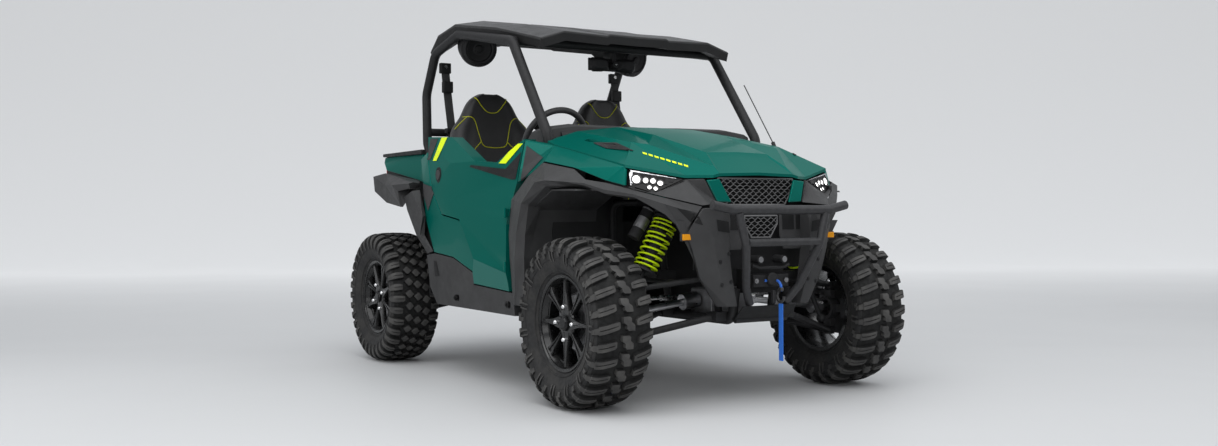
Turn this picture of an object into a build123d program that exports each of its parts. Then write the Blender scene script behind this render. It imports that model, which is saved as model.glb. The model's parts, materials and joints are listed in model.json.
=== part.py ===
from build123d import *
import os
from math import cos, hypot, pi, radians, sin

# Side by side utility vehicle with two seats, an open cab, a roof and a dump bed.
# Frame: origin on the ground midway between the axles, on the centre plane.
# +Z is up, the nose points along -Y and -X is the vehicle's right side. Millimetres.

# ---- running gear
WHEELBASE = 2057.0
TRACK = 1362.0
TYRE_RADIUS = 350.0          # out to the tips of the lugs
TYRE_WIDTH = 285.0
LUG_DEPTH = 17.0
LUG_COUNT = 24               # round each shoulder
LUG_SHARE = 0.58             # a lug's share of its pitch
BEAD_RADIUS = 187.0
RIM_WIDTH = 200.0
RIM_WALL = 7.0
RIM_LIP = 198.0
SPOKE_COUNT = 8
LUG_NUT_CIRCLE = 136.0       # diameter through the four wheel nuts
HUB_BORE = 34.0
DISC_RADIUS = 122.0
DISC_OFFSET = 24.0           # from the hub's outer face
DISC_SLOT = 8.0              # half width of the caliper's slot
KINGPIN_OFFSET = 30.0        # from the tyre's middle plane, inboard
BALL_JOINT_RISE = 105.0      # ball joints above and below the axle
STEER_ARM = 95.0             # kingpin to tie rod end
STEER_LIMIT = 28.0

# ---- axles
HUB_BARREL = 30.0
HUB_LENGTH = 56.0
CARRIER_RADIUS = 52.0
CARRIER_BORE = 38.0
JOINT_HALF = 16.0            # half height of a ball joint's cup
JOINT_GAP = 6.0              # between a ball joint and its upright
BUSH_HALF = 28.0
BUSH_RADIUS = 20.0
FRONT_LOW = (190.0, 365.0)   # lower arm pivots: x, z
FRONT_LOW_Y = (-236.0, 149.0)        # pivots from the axle
FRONT_HIGH = (215.0, 525.0)
FRONT_HIGH_Y = (-231.0, 139.0)
REAR_LOW = (190.0, 355.0)
REAR_LOW_Y = (-188.0, 162.0)
REAR_HIGH = (215.0, 520.0)
REAR_HIGH_Y = (-178.0, 197.0)
LOW_BRACE = 0.55             # where an arm's cross brace sits along its tubes
HIGH_BRACE = 0.24
FRONT_DIFF = ((-105.0, 105.0), (-101.5, 53.5), (345.0, 470.0))   # x, y from the axle, z
REAR_DIFF = ((-105.0, 105.0), (-88.5, 101.5), (345.0, 480.0))
SHAFT_RADIUS = 15.0
BOOT_RADIUS = 34.0
TIE_RISE = 75.0              # tie rods above the axle
RACK_HALF = 235.0
SHOCK_RADIUS = 24.0
SPRING_RADIUS = 56.0
SPRING_WIRE = 6.5            # wire radius
SPRING_TURNS = 7.5
SPRING_START = 62.0          # from the damper's top eye
SPRING_SPAN = 225.0
SHOCKS = (                   # axle's end, top eye, foot eye, reservoir's ends: x, y from the axle, z
    (-1, (-285.0, -69.5, 812.0), (-556.0, -49.5, 309.0), ((-362.0, -9.5, 806.0), (-437.0, -3.5, 690.0))),
    (1, (-290.0, 56.5, 812.0), (-540.0, 38.5, 310.0), None),
)

# ---- chassis
RAIL_X = 135.0
RAIL_Z = 350.0
RAIL_TUBE = 20.0
FLOOR_WALL = 14.0
FLOOR_HALF = 638.0
SKID_WALL = 5.0
DOOR_X = 712.0               # outer face of the doors
DOOR_WALL = 56.0
FLARE_X = 790.0              # outer lip of the wheel arch flares
SHUT_GAP = 7.0               # round the doors
PANEL_WALL = 12.0
HOOD_WALL = 12.0
LAMP_DEPTH = 60.0
GRILLE_RIM = 7.0
GRILLE_PITCH = 26.0          # between the net's openings
GRILLE_WALL = 10.0
LINER_X = -385.0             # inner edge of the arch liners
ARCH_GAP = 35.5              # from the front tyre's tread back to its arch
GAP = 1.0                    # between fixed neighbours
RUNNING_GAP = 8.0            # between neighbours that move apart

# ---- cage and roof
CAGE_TUBE = 24.0             # tube radius
CAGE_X = 580.0
CAGE_BEND = 90.0
ROOF_WALL = 14.0

# ---- seats and controls
SEAT_X = 346.0
SEAT_WIDTH = 452.0
WHEEL_X = -356.0
STEER_WHEEL_RADIUS = 172.0

# ---- bed
BED_HALF = 585.0             # outer face of the bed's side walls
BED_FRONT = 812.0
BED_REAR = 1350.0
BED_FLOOR = 905.0
BED_TOP = 1130.0
BED_WALL = 22.0
TAILGATE_WALL = 34.0

HINGE_Y = 1290.0             # dump hinge
HINGE_Z = 866.0
HINGE_PIN = 6.0
GATE_PIN = 6.0               # tailgate's hinge rod
GATE_Z = BED_FLOOR + 10.0
DOOR_HINGE = (-728.0, -425.0)        # door's hinge line: x, y
DOOR_HINGE_Z = (560.0, 800.0)        # middles of its two barrels
DOOR_BARREL = (7.0, 44.0)            # radius, length

AXLE_Y = WHEELBASE / 2
GATE_HALF = BED_HALF - BED_WALL - 6
HITCH_END = 1500.0
HITCH_PIN_Y = 1450.0
HITCH_PIN_HOLE = 8.25        # radius
STRAP_WIDTH = 25.0
STRAP_LENGTH = 235.0
STRAP_PLACE = Pos(18, -1440, 419 - STRAP_LENGTH / 2)
COLUMN = Pos(WHEEL_X, -225, 1145) * Rot(-62, 0, 0)
TIE_Y = -AXLE_Y + STEER_ARM
TIE_Z = TYRE_RADIUS + TIE_RISE
WHEEL_X0 = TRACK / 2
KINGPIN_X = WHEEL_X0 - KINGPIN_OFFSET


# ================================================================ helpers
def flat(node):
    """All the solids of a nested list of shapes."""
    if isinstance(node, (list, tuple)):
        return [solid for item in node for solid in flat(item)]
    return list(node.solids())


def save(name, *shapes):
    """Write one sub-part."""
    part = Compound(children=flat(shapes))
    part.label = name
    export_step(part, f"parts/{name}.step")


def other_side(shape):
    """The mirror image of a shape in the centre plane."""
    if isinstance(shape, (list, tuple)):
        return [other_side(item) for item in shape]
    return mirror(shape, about=Plane.YZ)


def both(shape):
    """A right hand piece and its left hand twin."""
    return flat([shape, other_side(shape)])


def across(outline, x_from, x_to):
    """A (y, z) outline extruded along X."""
    face = Plane.YZ.offset(x_from) * Polygon(*outline, align=None)
    return extrude(face, amount=x_to - x_from, dir=(1, 0, 0))


def along(outline, y_from, y_to):
    """An (x, z) outline extruded along Y."""
    plane = Plane(origin=(0, y_from, 0), x_dir=(1, 0, 0), z_dir=(0, -1, 0))
    return extrude(plane * Polygon(*outline, align=None), amount=y_to - y_from, dir=(0, 1, 0))


def upward(outline, z_from, z_to):
    """An (x, y) outline extruded along Z."""
    face = Plane.XY.offset(z_from) * Polygon(*outline, align=None)
    return extrude(face, amount=z_to - z_from, dir=(0, 0, 1))


def block(x_span, y_span, z_span):
    """A box from its three spans."""
    size = [high - low for low, high in (x_span, y_span, z_span)]
    middle = [(high + low) / 2 for low, high in (x_span, y_span, z_span)]
    return Pos(*middle) * Box(*size)


def rod(start, end, radius):
    """A round bar between two points."""
    axis = Vector(*end) - Vector(*start)
    return extrude(Plane(origin=start, z_dir=axis) * Circle(radius), amount=axis.length)


def tube(points, radius, bend):
    """A bent round bar through a list of points."""
    if len(points) == 2:
        return rod(points[0], points[1], radius)
    path = FilletPolyline(*[Vector(*p) for p in points], radius=bend)
    return sweep(Plane(origin=path @ 0, z_dir=path % 0) * Circle(radius), path=path)


def mirrored_line(points):
    """A centre-plane-symmetric line from its points at X >= 0, centre first."""
    left = [(-x, z) for x, z in reversed(points) if x > 0]
    return left + list(points)


def solid_of(faces):
    """A closed solid from its flat faces."""
    body = Solid(Shell([Face(Wire.make_polygon(corners)) for corners in faces]))
    if body.volume < 0:
        body = Solid(Shell([Face(Wire.make_polygon(corners[::-1])) for corners in faces]))
    return body


def panel(corners, facets, shift):
    """A panel of flat facets between named corners, with its wall on the side of the shift."""
    front = {name: Vector(*point) for name, point in corners.items()}
    back = {name: point + Vector(*shift) for name, point in front.items()}
    faces, rim = [], set()
    for facet in facets:
        names = facet.split()
        for second, third in zip(names[1:], names[2:]):
            corner = (names[0], second, third)
            faces.append([front[name] for name in corner])
            faces.append([back[name] for name in corner])
            rim ^= {tuple(sorted(pair)) for pair in zip(corner, corner[1:] + corner[:1])}
    for a, b in sorted(rim):
        faces.append([front[a], front[b], back[b]])
        faces.append([front[a], back[b], back[a]])
    return solid_of(faces)


def facets(rings):
    """A closed solid of flat facets through rings of as many points each."""
    rings = [[Vector(*point) for point in ring] for ring in rings]
    count = len(rings[0])
    faces = []
    for ring, after in zip(rings, rings[1:]):
        for i in range(count):
            j = (i + 1) % count
            faces.append([ring[i], ring[j], after[j]])
            faces.append([ring[i], after[j], after[i]])
    for ring in (rings[0], rings[-1]):
        for i in range(1, count - 1):
            faces.append([ring[0], ring[i], ring[i + 1]])
    return solid_of(faces)


def sheet(rows, shift):
    """A panel through a grid of points, with its wall on the side of the shift."""
    corners = {f"{r}-{c}": point for r, row in enumerate(rows) for c, point in enumerate(row)}
    cells = [f"{r}-{c} {r}-{c + 1} {r + 1}-{c + 1} {r + 1}-{c}"
             for r in range(len(rows) - 1) for c in range(len(rows[0]) - 1)]
    return panel(corners, cells, shift)


def thicken_line(points, wall):
    """The closed outline of an open line of points given a wall on its left hand side."""
    normals = []
    for (y0, z0), (y1, z1) in zip(points, points[1:]):
        length = hypot(y1 - y0, z1 - z0)
        normals.append((-(z1 - z0) / length, (y1 - y0) / length))
    offset = []
    for i, (y, z) in enumerate(points):
        before = normals[max(i - 1, 0)]
        after = normals[min(i, len(normals) - 1)]
        share = wall / (1 + before[0] * after[0] + before[1] * after[1])
        offset.append((y + (before[0] + after[0]) * share, z + (before[1] + after[1]) * share))
    return list(points) + offset[::-1]


# ================================================================ wheels
def turned(outline):
    """A closed (radius, width) outline turned about the X axis."""
    face = Plane.XY * Polygon(*[(w, r) for r, w in outline], align=None)
    return revolve(face, axis=Axis.X)


def wheel_ring(w, radius, turn, shares=(0, LUG_SHARE)):
    """Points round a line of the tyre at the edges of its lugs; turn is in pitches."""
    ring = []
    for angle in (radians((i + share + turn) * 360 / LUG_COUNT) for i in range(LUG_COUNT) for share in shares):
        ring.append(Vector(w, radius * sin(angle), -radius * cos(angle)))
    return ring


def quads(lower, upper, starts, step=1):
    """Pairs of triangles between two rings, from each start to the point a step further."""
    faces = []
    for i in starts:
        j = (i + step) % len(lower)
        faces.append([lower[i], lower[j], upper[j]])
        faces.append([lower[i], upper[j], upper[i]])
    return faces


def walls(groove, top, after_groove, after_top, starts):
    """The two flanks of each raised block between two lines of the tread."""
    faces = []
    for i in starts:
        for j in (i, i + 1):
            faces.append([groove[j], top[j], after_top[j]])
            faces.append([groove[j], after_top[j], after_groove[j]])
    return faces


def make_tyre():
    """A faceted tyre about the X axis: long lugs over both shoulders and a row of centre blocks."""
    half = TYRE_WIDTH / 2
    bead = (BEAD_RADIUS + GAP / 2) / cos(pi / LUG_COUNT)
    seat = RIM_WIDTH / 2 - RIM_WALL - GAP
    groove = TYRE_RADIUS - LUG_DEPTH
    lugs, gaps = range(0, 2 * LUG_COUNT, 2), range(1, 2 * LUG_COUNT, 2)
    every = range(2 * LUG_COUNT)
    faces, beads, inner = [], [], []
    for side, shift in ((-1, 0.0), (1, 0.5)):      # right hand lugs stand half a pitch on
        line = [wheel_ring(side * w, r, turn, (0,)) for w, r, turn in (
            (seat, bead, 0), (seat, bead + 13, 0), (half - 2, TYRE_RADIUS * 0.75, shift / 2))]
        foot = wheel_ring(side * (half - 1), TYRE_RADIUS - 50, shift)
        shoulder = wheel_ring(side * (half - 10), TYRE_RADIUS - 20, shift + 0.1)
        low = wheel_ring(side * 60, groove - 2, shift + 0.35)
        top = wheel_ring(side * 60, TYRE_RADIUS - 3, shift + 0.35)
        for ring, after in zip(line, line[1:]):
            faces += quads(ring, after, range(LUG_COUNT))
        for i in range(LUG_COUNT):
            j, k = (i + 1) % LUG_COUNT, (2 * i + 2) % (2 * LUG_COUNT)
            faces.append([line[2][i], foot[2 * i], foot[2 * i + 1]])
            faces.append([line[2][i], foot[2 * i + 1], line[2][j]])
            faces.append([line[2][j], foot[2 * i + 1], foot[k]])
        faces += quads(foot, shoulder, lugs) + quads(shoulder, top, lugs) + quads(low, top, lugs)
        faces += quads(foot, low, gaps)
        faces += walls(foot, shoulder, low, top, lugs)
        beads.append(line[0])
        inner.append(low)
    centre = [(wheel_ring(w, groove, turn), wheel_ring(w, TYRE_RADIUS, turn)) for w, turn in ((-38, 0.55), (38, 0.65))]
    (low_a, top_a), (low_b, top_b) = centre
    faces += quads(low_a, top_a, lugs) + quads(top_a, top_b, lugs) + quads(low_b, top_b, lugs)
    faces += quads(low_a, low_b, gaps) + walls(low_a, top_a, low_b, top_b, lugs)
    faces += quads(inner[0], low_a, every) + quads(low_b, inner[1], every)
    faces += quads(beads[0], beads[1], range(LUG_COUNT))
    return solid_of(faces)


FACE_X = -RIM_WIDTH / 2 + 14      # outer face of the spokes from the tyre's middle plane


def make_rim():
    """A cast rim: barrel with two flanges, eight spokes and a hub pad."""
    half = RIM_WIDTH / 2
    seat = BEAD_RADIUS - GAP / 2
    barrel = turned([
        (seat, -half + RIM_WALL), (RIM_LIP, -half + RIM_WALL - 3), (RIM_LIP, -half),
        (seat - RIM_WALL, -half), (seat - RIM_WALL - 10, -half + 40), (seat - RIM_WALL - 10, half - 40),
        (seat - RIM_WALL, half), (RIM_LIP, half), (RIM_LIP, half - RIM_WALL + 3), (seat, half - RIM_WALL),
        (seat, half - 40), (seat - 12, half - 52), (seat - 12, -half + 52), (seat, -half + 40),
    ])
    pad = Pos(FACE_X + 26, 0, 0) * Rot(0, 90, 0) * Cylinder(HUB_BORE + 42, 26)
    spokes = []
    for i in range(SPOKE_COUNT):
        bar = across([(40, -12), (118, -11), (seat - 11, -24), (seat - 11, 24), (118, 11), (40, 12)],
                     FACE_X, FACE_X + 28)
        spokes.append(Rot(i * 360 / SPOKE_COUNT, 0, 0) * bar)
    cap = Pos(FACE_X + 8, 0, 0) * Box(36, 72, 72)
    rim = barrel + pad + spokes + cap
    for i in range(4):
        nut = Rot(i * 90, 0, 0) * Pos(FACE_X + 6, LUG_NUT_CIRCLE / 2, 0) * Rot(0, 90, 0) * Cylinder(11, 22)
        rim += nut
    return rim


HUB_FACE = FACE_X + 39 + GAP      # inner face of the rim's pad


def make_hub():
    """A wheel hub with its flange and brake disc."""
    flange = Pos(HUB_FACE + 7, 0, 0) * Rot(0, 90, 0) * Cylinder(HUB_BORE + 38, 14)
    barrel = Pos(HUB_FACE + HUB_LENGTH / 2, 0, 0) * Rot(0, 90, 0) * Cylinder(HUB_BARREL, HUB_LENGTH)
    disc = Pos(HUB_FACE + DISC_OFFSET, 0, 0) * Rot(0, 90, 0) * Cylinder(DISC_RADIUS, 5)
    return flange + barrel + disc


def wheel_parts():
    """The four wheels, each with its outer face away from the centre plane."""
    tyre, rim, hub = make_tyre(), make_rim(), make_hub()
    places = [
        ("front_right", -WHEEL_X0, -AXLE_Y, 0), ("front_left", WHEEL_X0, -AXLE_Y, 180),
        ("rear_right", -WHEEL_X0, AXLE_Y, 0), ("rear_left", WHEEL_X0, AXLE_Y, 180),
    ]
    for name, x, y, turn in places:
        spot = Pos(x, y, TYRE_RADIUS) * Rot(0, 0, turn)
        save(f"tyre_{name}", spot * tyre)
        save(f"rim_{name}", spot * rim)
        save(f"hub_{name}", spot * hub)


# ================================================================ axles, knuckles and springs
AXLE_Z = TYRE_RADIUS
CARRIER_X = WHEEL_X0 - HUB_FACE - HUB_LENGTH - 2 * GAP      # outer face of the hub carrier
BALL_LOW = AXLE_Z - BALL_JOINT_RISE
BALL_HIGH = AXLE_Z + BALL_JOINT_RISE


def make_knuckle(axle_y, arm):
    """A right hand upright with its hub carrier, caliper and, where steered, a steering arm."""
    x = -KINGPIN_X
    knuckle = rod((-CARRIER_X, axle_y, AXLE_Z), (x + 28, axle_y, AXLE_Z), CARRIER_RADIUS)
    knuckle += block((x - 14, x + 14), (axle_y - 24, axle_y + 24),
                     (BALL_LOW + JOINT_HALF + JOINT_GAP, BALL_HIGH - JOINT_HALF - JOINT_GAP))
    knuckle -= rod((-CARRIER_X - 1, axle_y, AXLE_Z), (x + 30, axle_y, AXLE_Z), CARRIER_BORE)
    disc_x = HUB_FACE + DISC_OFFSET - WHEEL_X0
    caliper = block((disc_x - 20, x + 6), (axle_y - 135, axle_y - 80), (AXLE_Z - 45, AXLE_Z + 45))
    caliper -= rod((disc_x - DISC_SLOT, axle_y, AXLE_Z), (disc_x + DISC_SLOT, axle_y, AXLE_Z), DISC_RADIUS + 8)
    knuckle += caliper + block((x - 10, x + 6), (axle_y - 90, axle_y - 44), (AXLE_Z - 18, AXLE_Z + 18))
    if arm:
        knuckle += rod((x, axle_y + 10, TIE_Z), (x, axle_y + STEER_ARM, TIE_Z), 11)
        knuckle += rod((x, axle_y + STEER_ARM, TIE_Z - 14), (x, axle_y + STEER_ARM, TIE_Z + 14), 15)
    return knuckle


def from_axle(end, point):
    """A point whose y is measured from the front (-1) or rear (1) axle."""
    x, y, z = point
    return x, end * AXLE_Y + y, z


def make_arm(end, y_pair, pivot, outer, radius, brace):
    """A right hand A shaped arm of two tubes, with bushes at its pivots and a cup at its joint."""
    pivot_x, pivot_z = pivot
    out_x, out_y, out_z = outer
    arm = rod((-out_x, out_y, out_z - JOINT_HALF), (-out_x, out_y, out_z + JOINT_HALF), radius + 9)
    mid = []
    for y in (end * AXLE_Y + offset for offset in y_pair):
        inner = Vector(-pivot_x, y, pivot_z)
        tip = Vector(-out_x, out_y, out_z)
        arm += rod(tuple(inner), tuple(tip), radius)
        arm += rod((-pivot_x, y - BUSH_HALF, pivot_z), (-pivot_x, y + BUSH_HALF, pivot_z), BUSH_RADIUS)
        mid.append(tuple(inner + (tip - inner) * brace))
    return arm + rod(mid[0], mid[1], radius - 3)


def arm_ears(end, y_pair, pivot, inner_x):
    """Bracket ears on the frame either side of each bush."""
    ears = []
    pivot_x, z = pivot
    for y in (end * AXLE_Y + offset for offset in y_pair):
        for side in (-1, 1):
            near = y + side * (BUSH_HALF + GAP / 2)
            span = sorted((near, near + side * 6))
            ears.append(block((-pivot_x - 18, -inner_x), span, (z - 19, z + 19)))
        ears.append(block((-pivot_x + BUSH_RADIUS + 3, -inner_x), (y - BUSH_HALF - 4, y + BUSH_HALF + 4),
                          (z - 19, z + 19)))
    return ears


def make_shock(top, foot, body, reservoir):
    """A damper with a spring seat at each end, and a reservoir at its top."""
    axis = (Vector(*foot) - Vector(*top)).normalized()
    start, end = Vector(*top), Vector(*foot)
    length = (end - start).length
    at = lambda d: tuple(start + axis * d)
    shock = rod(at(0), at(length * 0.52), body) + rod(at(length * 0.5), at(length), body * 0.45)
    shock += rod(at(SPRING_START - 10), at(SPRING_START - 1), SPRING_RADIUS + 3)
    shock += rod(at(SPRING_START + SPRING_SPAN + 1), at(SPRING_START + SPRING_SPAN + 10), SPRING_RADIUS + 3)
    shock += ball(*at(0), body) + ball(*at(length), body * 0.9)
    if reservoir:
        shock += rod(reservoir[0], reservoir[1], 27)
        shock += rod(reservoir[0], at(15), 11)
    return shock


def make_spring(top, foot):
    """A coil spring between the damper's two seats, as a faceted helix."""
    axis = (Vector(*foot) - Vector(*top)).normalized()
    place = Plane(origin=Vector(*top) + axis * SPRING_START, z_dir=axis)
    steps = int(SPRING_TURNS * 10)
    rise = (SPRING_SPAN - 2 * SPRING_WIRE) / steps
    rings = []
    for step in range(steps + 1):
        turn = radians(step * 36)
        ring = []
        for corner in (radians(k * 72) for k in range(5)):
            radius = SPRING_RADIUS - SPRING_WIRE + SPRING_WIRE * cos(corner)
            height = SPRING_WIRE + step * rise + SPRING_WIRE * sin(corner)
            ring.append(tuple(place.from_local_coords(Vector(radius * cos(turn), radius * sin(turn), height))))
        rings.append(ring)
    return facets(rings)


def ball(x, y, z, radius):
    """A sphere at a point."""
    return Pos(x, y, z) * Sphere(radius)


def make_axle_shaft(axle_y, inner, outer_x):
    """A right hand half shaft with a boot near each end and a ball in the hub carrier."""
    a, b = Vector(*inner), Vector(-outer_x, axle_y, AXLE_Z)
    axis = (b - a).normalized()
    length = (b - a).length
    at = lambda d: tuple(a + axis * d)
    shaft = rod(at(0), at(length), SHAFT_RADIUS)
    for near, far in ((0, 78), (length - 112, length - 64)):
        shaft += rod(at(near), at(far), BOOT_RADIUS)
    return shaft + ball(-outer_x, axle_y, AXLE_Z, SHAFT_RADIUS + 2)


def suspension_parts():
    """Arms, dampers, springs, shafts and uprights; right hand ones are mirrored to the left."""
    front = [
        make_arm(-1, FRONT_LOW_Y, FRONT_LOW, (KINGPIN_X, -AXLE_Y, BALL_LOW), 15, LOW_BRACE),
        make_arm(-1, FRONT_HIGH_Y, FRONT_HIGH, (KINGPIN_X, -AXLE_Y, BALL_HIGH), 12, HIGH_BRACE),
    ]
    rear = [
        make_arm(1, REAR_LOW_Y, REAR_LOW, (KINGPIN_X, AXLE_Y, BALL_LOW), 15, LOW_BRACE),
        make_arm(1, REAR_HIGH_Y, REAR_HIGH, (KINGPIN_X, AXLE_Y, BALL_HIGH), 12, HIGH_BRACE),
    ]
    save("front_arms", both(front))
    save("rear_arms", both(rear))
    shocks, springs = [], []
    for end, top, foot, reservoir in SHOCKS:
        eyes = [from_axle(end, point) for point in (top, foot)]
        shocks.append(make_shock(*eyes, SHOCK_RADIUS, [from_axle(end, point) for point in reservoir or ()]))
        springs.append(make_spring(*eyes))
    save("shocks", both(shocks))
    save("springs", both(springs))
    shafts = []
    for axle_y, gearbox in ((-AXLE_Y, FRONT_DIFF), (AXLE_Y, REAR_DIFF)):
        inner = (-gearbox[0][1] - 5, axle_y, gearbox[2][1] - 50)
        shafts.append(make_axle_shaft(axle_y, inner, KINGPIN_X))
    save("axle_shafts", both(shafts))
    save("rear_knuckles", both(make_knuckle(AXLE_Y, False)))
    save("knuckle_front_right", make_knuckle(-AXLE_Y, True))
    save("knuckle_front_left", other_side(make_knuckle(-AXLE_Y, True)))
    rack = rod((-RACK_HALF, TIE_Y, TIE_Z), (RACK_HALF, TIE_Y, TIE_Z), 13)
    for side in (-1, 1):
        rack += rod((side * RACK_HALF, TIE_Y, TIE_Z), (side * (KINGPIN_X - 20), TIE_Y, TIE_Z), 9)
    save("tie_rods", rack)


# ================================================================ chassis
RAIL_TOP = RAIL_Z + RAIL_TUBE
FLOOR_Z = RAIL_TOP + GAP     # underside of the floor


def cage_side(radius):
    """The right hand side hoop of the cage, as a bar of a given radius."""
    return tube([(-540, -585, 870), (-589, -570, 1150), (-CAGE_X, -225, 1606), (-CAGE_X, 360, 1712),
                 (-CAGE_X, 660, 1645), (-CAGE_X, 782, 1440), (-CAGE_X, 776, 1180), (-540, 700, 900)],
                radius, CAGE_BEND)


def frame_parts():
    """The welded tube frame with the brackets of its arms."""
    half = []
    rail = [(-RAIL_X, -1335, 480), (-RAIL_X, -1312, RAIL_Z), (-RAIL_X, 1235, RAIL_Z), (-RAIL_X, 1262, 640)]
    half.append(tube(rail, RAIL_TUBE, 45))
    for y, top_y in ((-AXLE_Y - 196.5, -1180), (-AXLE_Y + 166.5, -900)):
        half.append(tube([(-RAIL_X, y, RAIL_Z), (-165, y, 560), (-225, top_y, 842)], 16, 60))
    half.append(rod((-225, -1196, 842), (-225, -752, 842), 18))
    half.append(tube([(-222, -770, 842), (-300, -650, 842), (-300, -650, RAIL_Z)], 15, 40))
    for y in (AXLE_Y - 153.5, AXLE_Y + 166.5):
        half.append(tube([(-RAIL_X, y, RAIL_Z), (-165, y, 560), (-225, y, 842)], 16, 60))
    half.append(rod((-225, 730, 842), (-225, 1275, 842), 15))
    half.append(rod((-225, 700, 856), (-225, 700, RAIL_Z - 12), 17))
    half.append(rod((-225, 695, 842), (-225, 735, 842), 13))
    half.append(rod((-250, HINGE_Y, HINGE_Z), (-236, HINGE_Y, HINGE_Z), 10))
    half.append(rod((-248, HINGE_Y, HINGE_Z), (-208, HINGE_Y, HINGE_Z), HINGE_PIN))
    half.append(block((-250, -236), (1262, HINGE_Y + 6), (838, HINGE_Z - 4)))
    frame = half[0]
    for bar in half[1:]:
        frame += bar
    lugs = arm_ears(-1, FRONT_LOW_Y, FRONT_LOW, RAIL_X)
    lugs += arm_ears(-1, FRONT_HIGH_Y, FRONT_HIGH, RAIL_X + 10)
    lugs += arm_ears(1, REAR_LOW_Y, REAR_LOW, RAIL_X)
    lugs += arm_ears(1, REAR_HIGH_Y, REAR_HIGH, RAIL_X + 10)
    for lug in lugs:
        frame += lug
    frame += other_side(frame)
    for y, z, x in ((-1330, RAIL_Z, RAIL_X), (-860, RAIL_Z, RAIL_X), (-560, RAIL_Z, 300), (700, RAIL_Z, 225),
                    (1225, RAIL_Z, RAIL_X), (-1150, 842, 225), (-925, 842, 225), (905, 842, 225), (1262, 842, 225),
                    (-650, 842, 300)):
        frame += rod((-x, y, z), (x, y, z), 12)
    for x in (-300, 300):
        frame += rod((x, -655, RAIL_Z), (x, 620, RAIL_Z), 14)
    return frame


# ================================================================ body sides
def make_door():
    """The right hand door: a faceted panel as thick as the whole door."""
    corners = {
        "top_rear": (-665, 567, 1199), "top_mid": (-668, 266, 1181), "swoop_rear": (-704, -78, 1047),
        "swoop_front": (-706, -299, 1030), "rise": (-672, -462, 1113), "top_front": (-666, -500, 1128),
        "front_high": (-692, -490, 985), "front_flare": (-700, -488, 930), "front_wide": (-708, -452, 862),
        "crease_front": (-714, -426, 748), "crease_rear": (-712, 192, 861), "shoulder": (-708, 192, 1047),
        "latch_top": (-692, 504, 1081), "latch_mid": (-702, 442, 929), "latch_low": (-714, 298, 799),
        "step": (-724, 56, 772), "waist": (-730, -115, 586), "hem_rear": (-728, -83, 519),
        "foot_rear": (-716, -72, 468), "waist_front": (-722, -432, 530), "hem_front": (-720, -432, 488),
        "foot_front": (-714, -432, 448),
    }
    return panel(corners, (
        "top_rear top_mid shoulder latch_top", "shoulder crease_rear latch_mid latch_top",
        "crease_rear latch_low latch_mid", "top_mid swoop_rear shoulder",
        "swoop_rear swoop_front crease_rear shoulder", "swoop_front rise front_high crease_rear",
        "rise top_front front_high", "front_high front_flare crease_rear",
        "front_flare front_wide crease_front crease_rear", "crease_rear crease_front step latch_low",
        "step crease_front waist_front waist", "waist waist_front hem_front hem_rear",
        "hem_rear hem_front foot_front foot_rear",
    ), (DOOR_WALL, -5, 0))


def make_quarter():
    """The right hand panel behind and below the door."""
    corners = {
        "top": (-686, 536, 1118), "latch_top": (-692, 511, 1076), "latch_mid": (-702, 450, 926),
        "latch_low": (-714, 304, 793), "step": (-724, 62, 765), "waist": (-722, -106, 584),
        "hem": (-720, -75, 521), "back_high": (-655, 690, 1090), "back_mid": (-690, 585, 965),
        "strut": (-716, 500, 786), "foot_rear": (-716, 392, 606), "foot_mid": (-722, 153, 588),
        "belly": (-726, 149, 700),
    }
    return panel(corners, (
        "top latch_top back_mid back_high", "latch_top latch_mid back_mid", "latch_mid strut back_mid",
        "latch_mid latch_low strut", "latch_low belly foot_rear strut", "latch_low step belly",
        "step waist foot_mid belly", "waist hem foot_mid", "belly foot_mid foot_rear",
    ), (PANEL_WALL, 0, 0))


def make_rocker():
    """The right hand sill below the door, with its bolt recesses."""
    corners = {
        "top_rear": (-714, 486, 590), "quarter": (-715, 384, 600), "quarter_mid": (-719, 152, 582),
        "hem": (-719, -78, 514), "foot": (-714, -66, 461), "front_high": (-713, -432, 441),
        "flare": (-713, -470, 441), "low_front": (-708, -476, 339), "low_rear": (-708, 376, 346),
        "back": (-712, 452, 430),
    }
    sill = panel(corners, (
        "top_rear quarter quarter_mid back", "quarter_mid hem foot low_rear back",
        "foot front_high flare low_front low_rear",
    ), (DOOR_WALL, 0, 0))
    for y, z in ((121, 389), (-423, 386)):
        sill -= rod((-740, y, z), (-699, y, z), 17)
    return sill


def make_rear_strut():
    """The fixed lower part of the right hand rear flare."""
    rings = [
        [(-706, 590, 926), (-745, 598, 920), (-742, 714, 890), (-690, 714, 890)],
        [(-719, 486, 792), (-745, 465, 784), (-742, 676, 822), (-690, 676, 822)],
        [(-720, 500, 693), (-742, 508, 692), (-738, 565, 691), (-690, 600, 691)],
        [(-718, 396, 612), (-720, 400, 610), (-716, 474, 597), (-690, 474, 597)],
    ]
    return facets(rings)


def side_parts():
    """Doors, quarter panels, rockers and the fixed part of the rear flares."""
    door = make_door()
    hinge_x, hinge_y = DOOR_HINGE
    radius, length = DOOR_BARREL
    for z in DOOR_HINGE_Z:
        leaf = block((hinge_x, hinge_x + 22), (hinge_y - 4, hinge_y + 24), (z - length / 2 + 4, z + length / 2 - 4))
        door += rod((hinge_x, hinge_y, z - length / 2), (hinge_x, hinge_y, z + length / 2), radius) + leaf
    save("door_right", door)
    save("door_left", other_side(door))
    save("quarter_panels", both(make_quarter()))
    save("rockers", both(make_rocker()))
    save("rear_flares_lower", both(make_rear_strut()))


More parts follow.
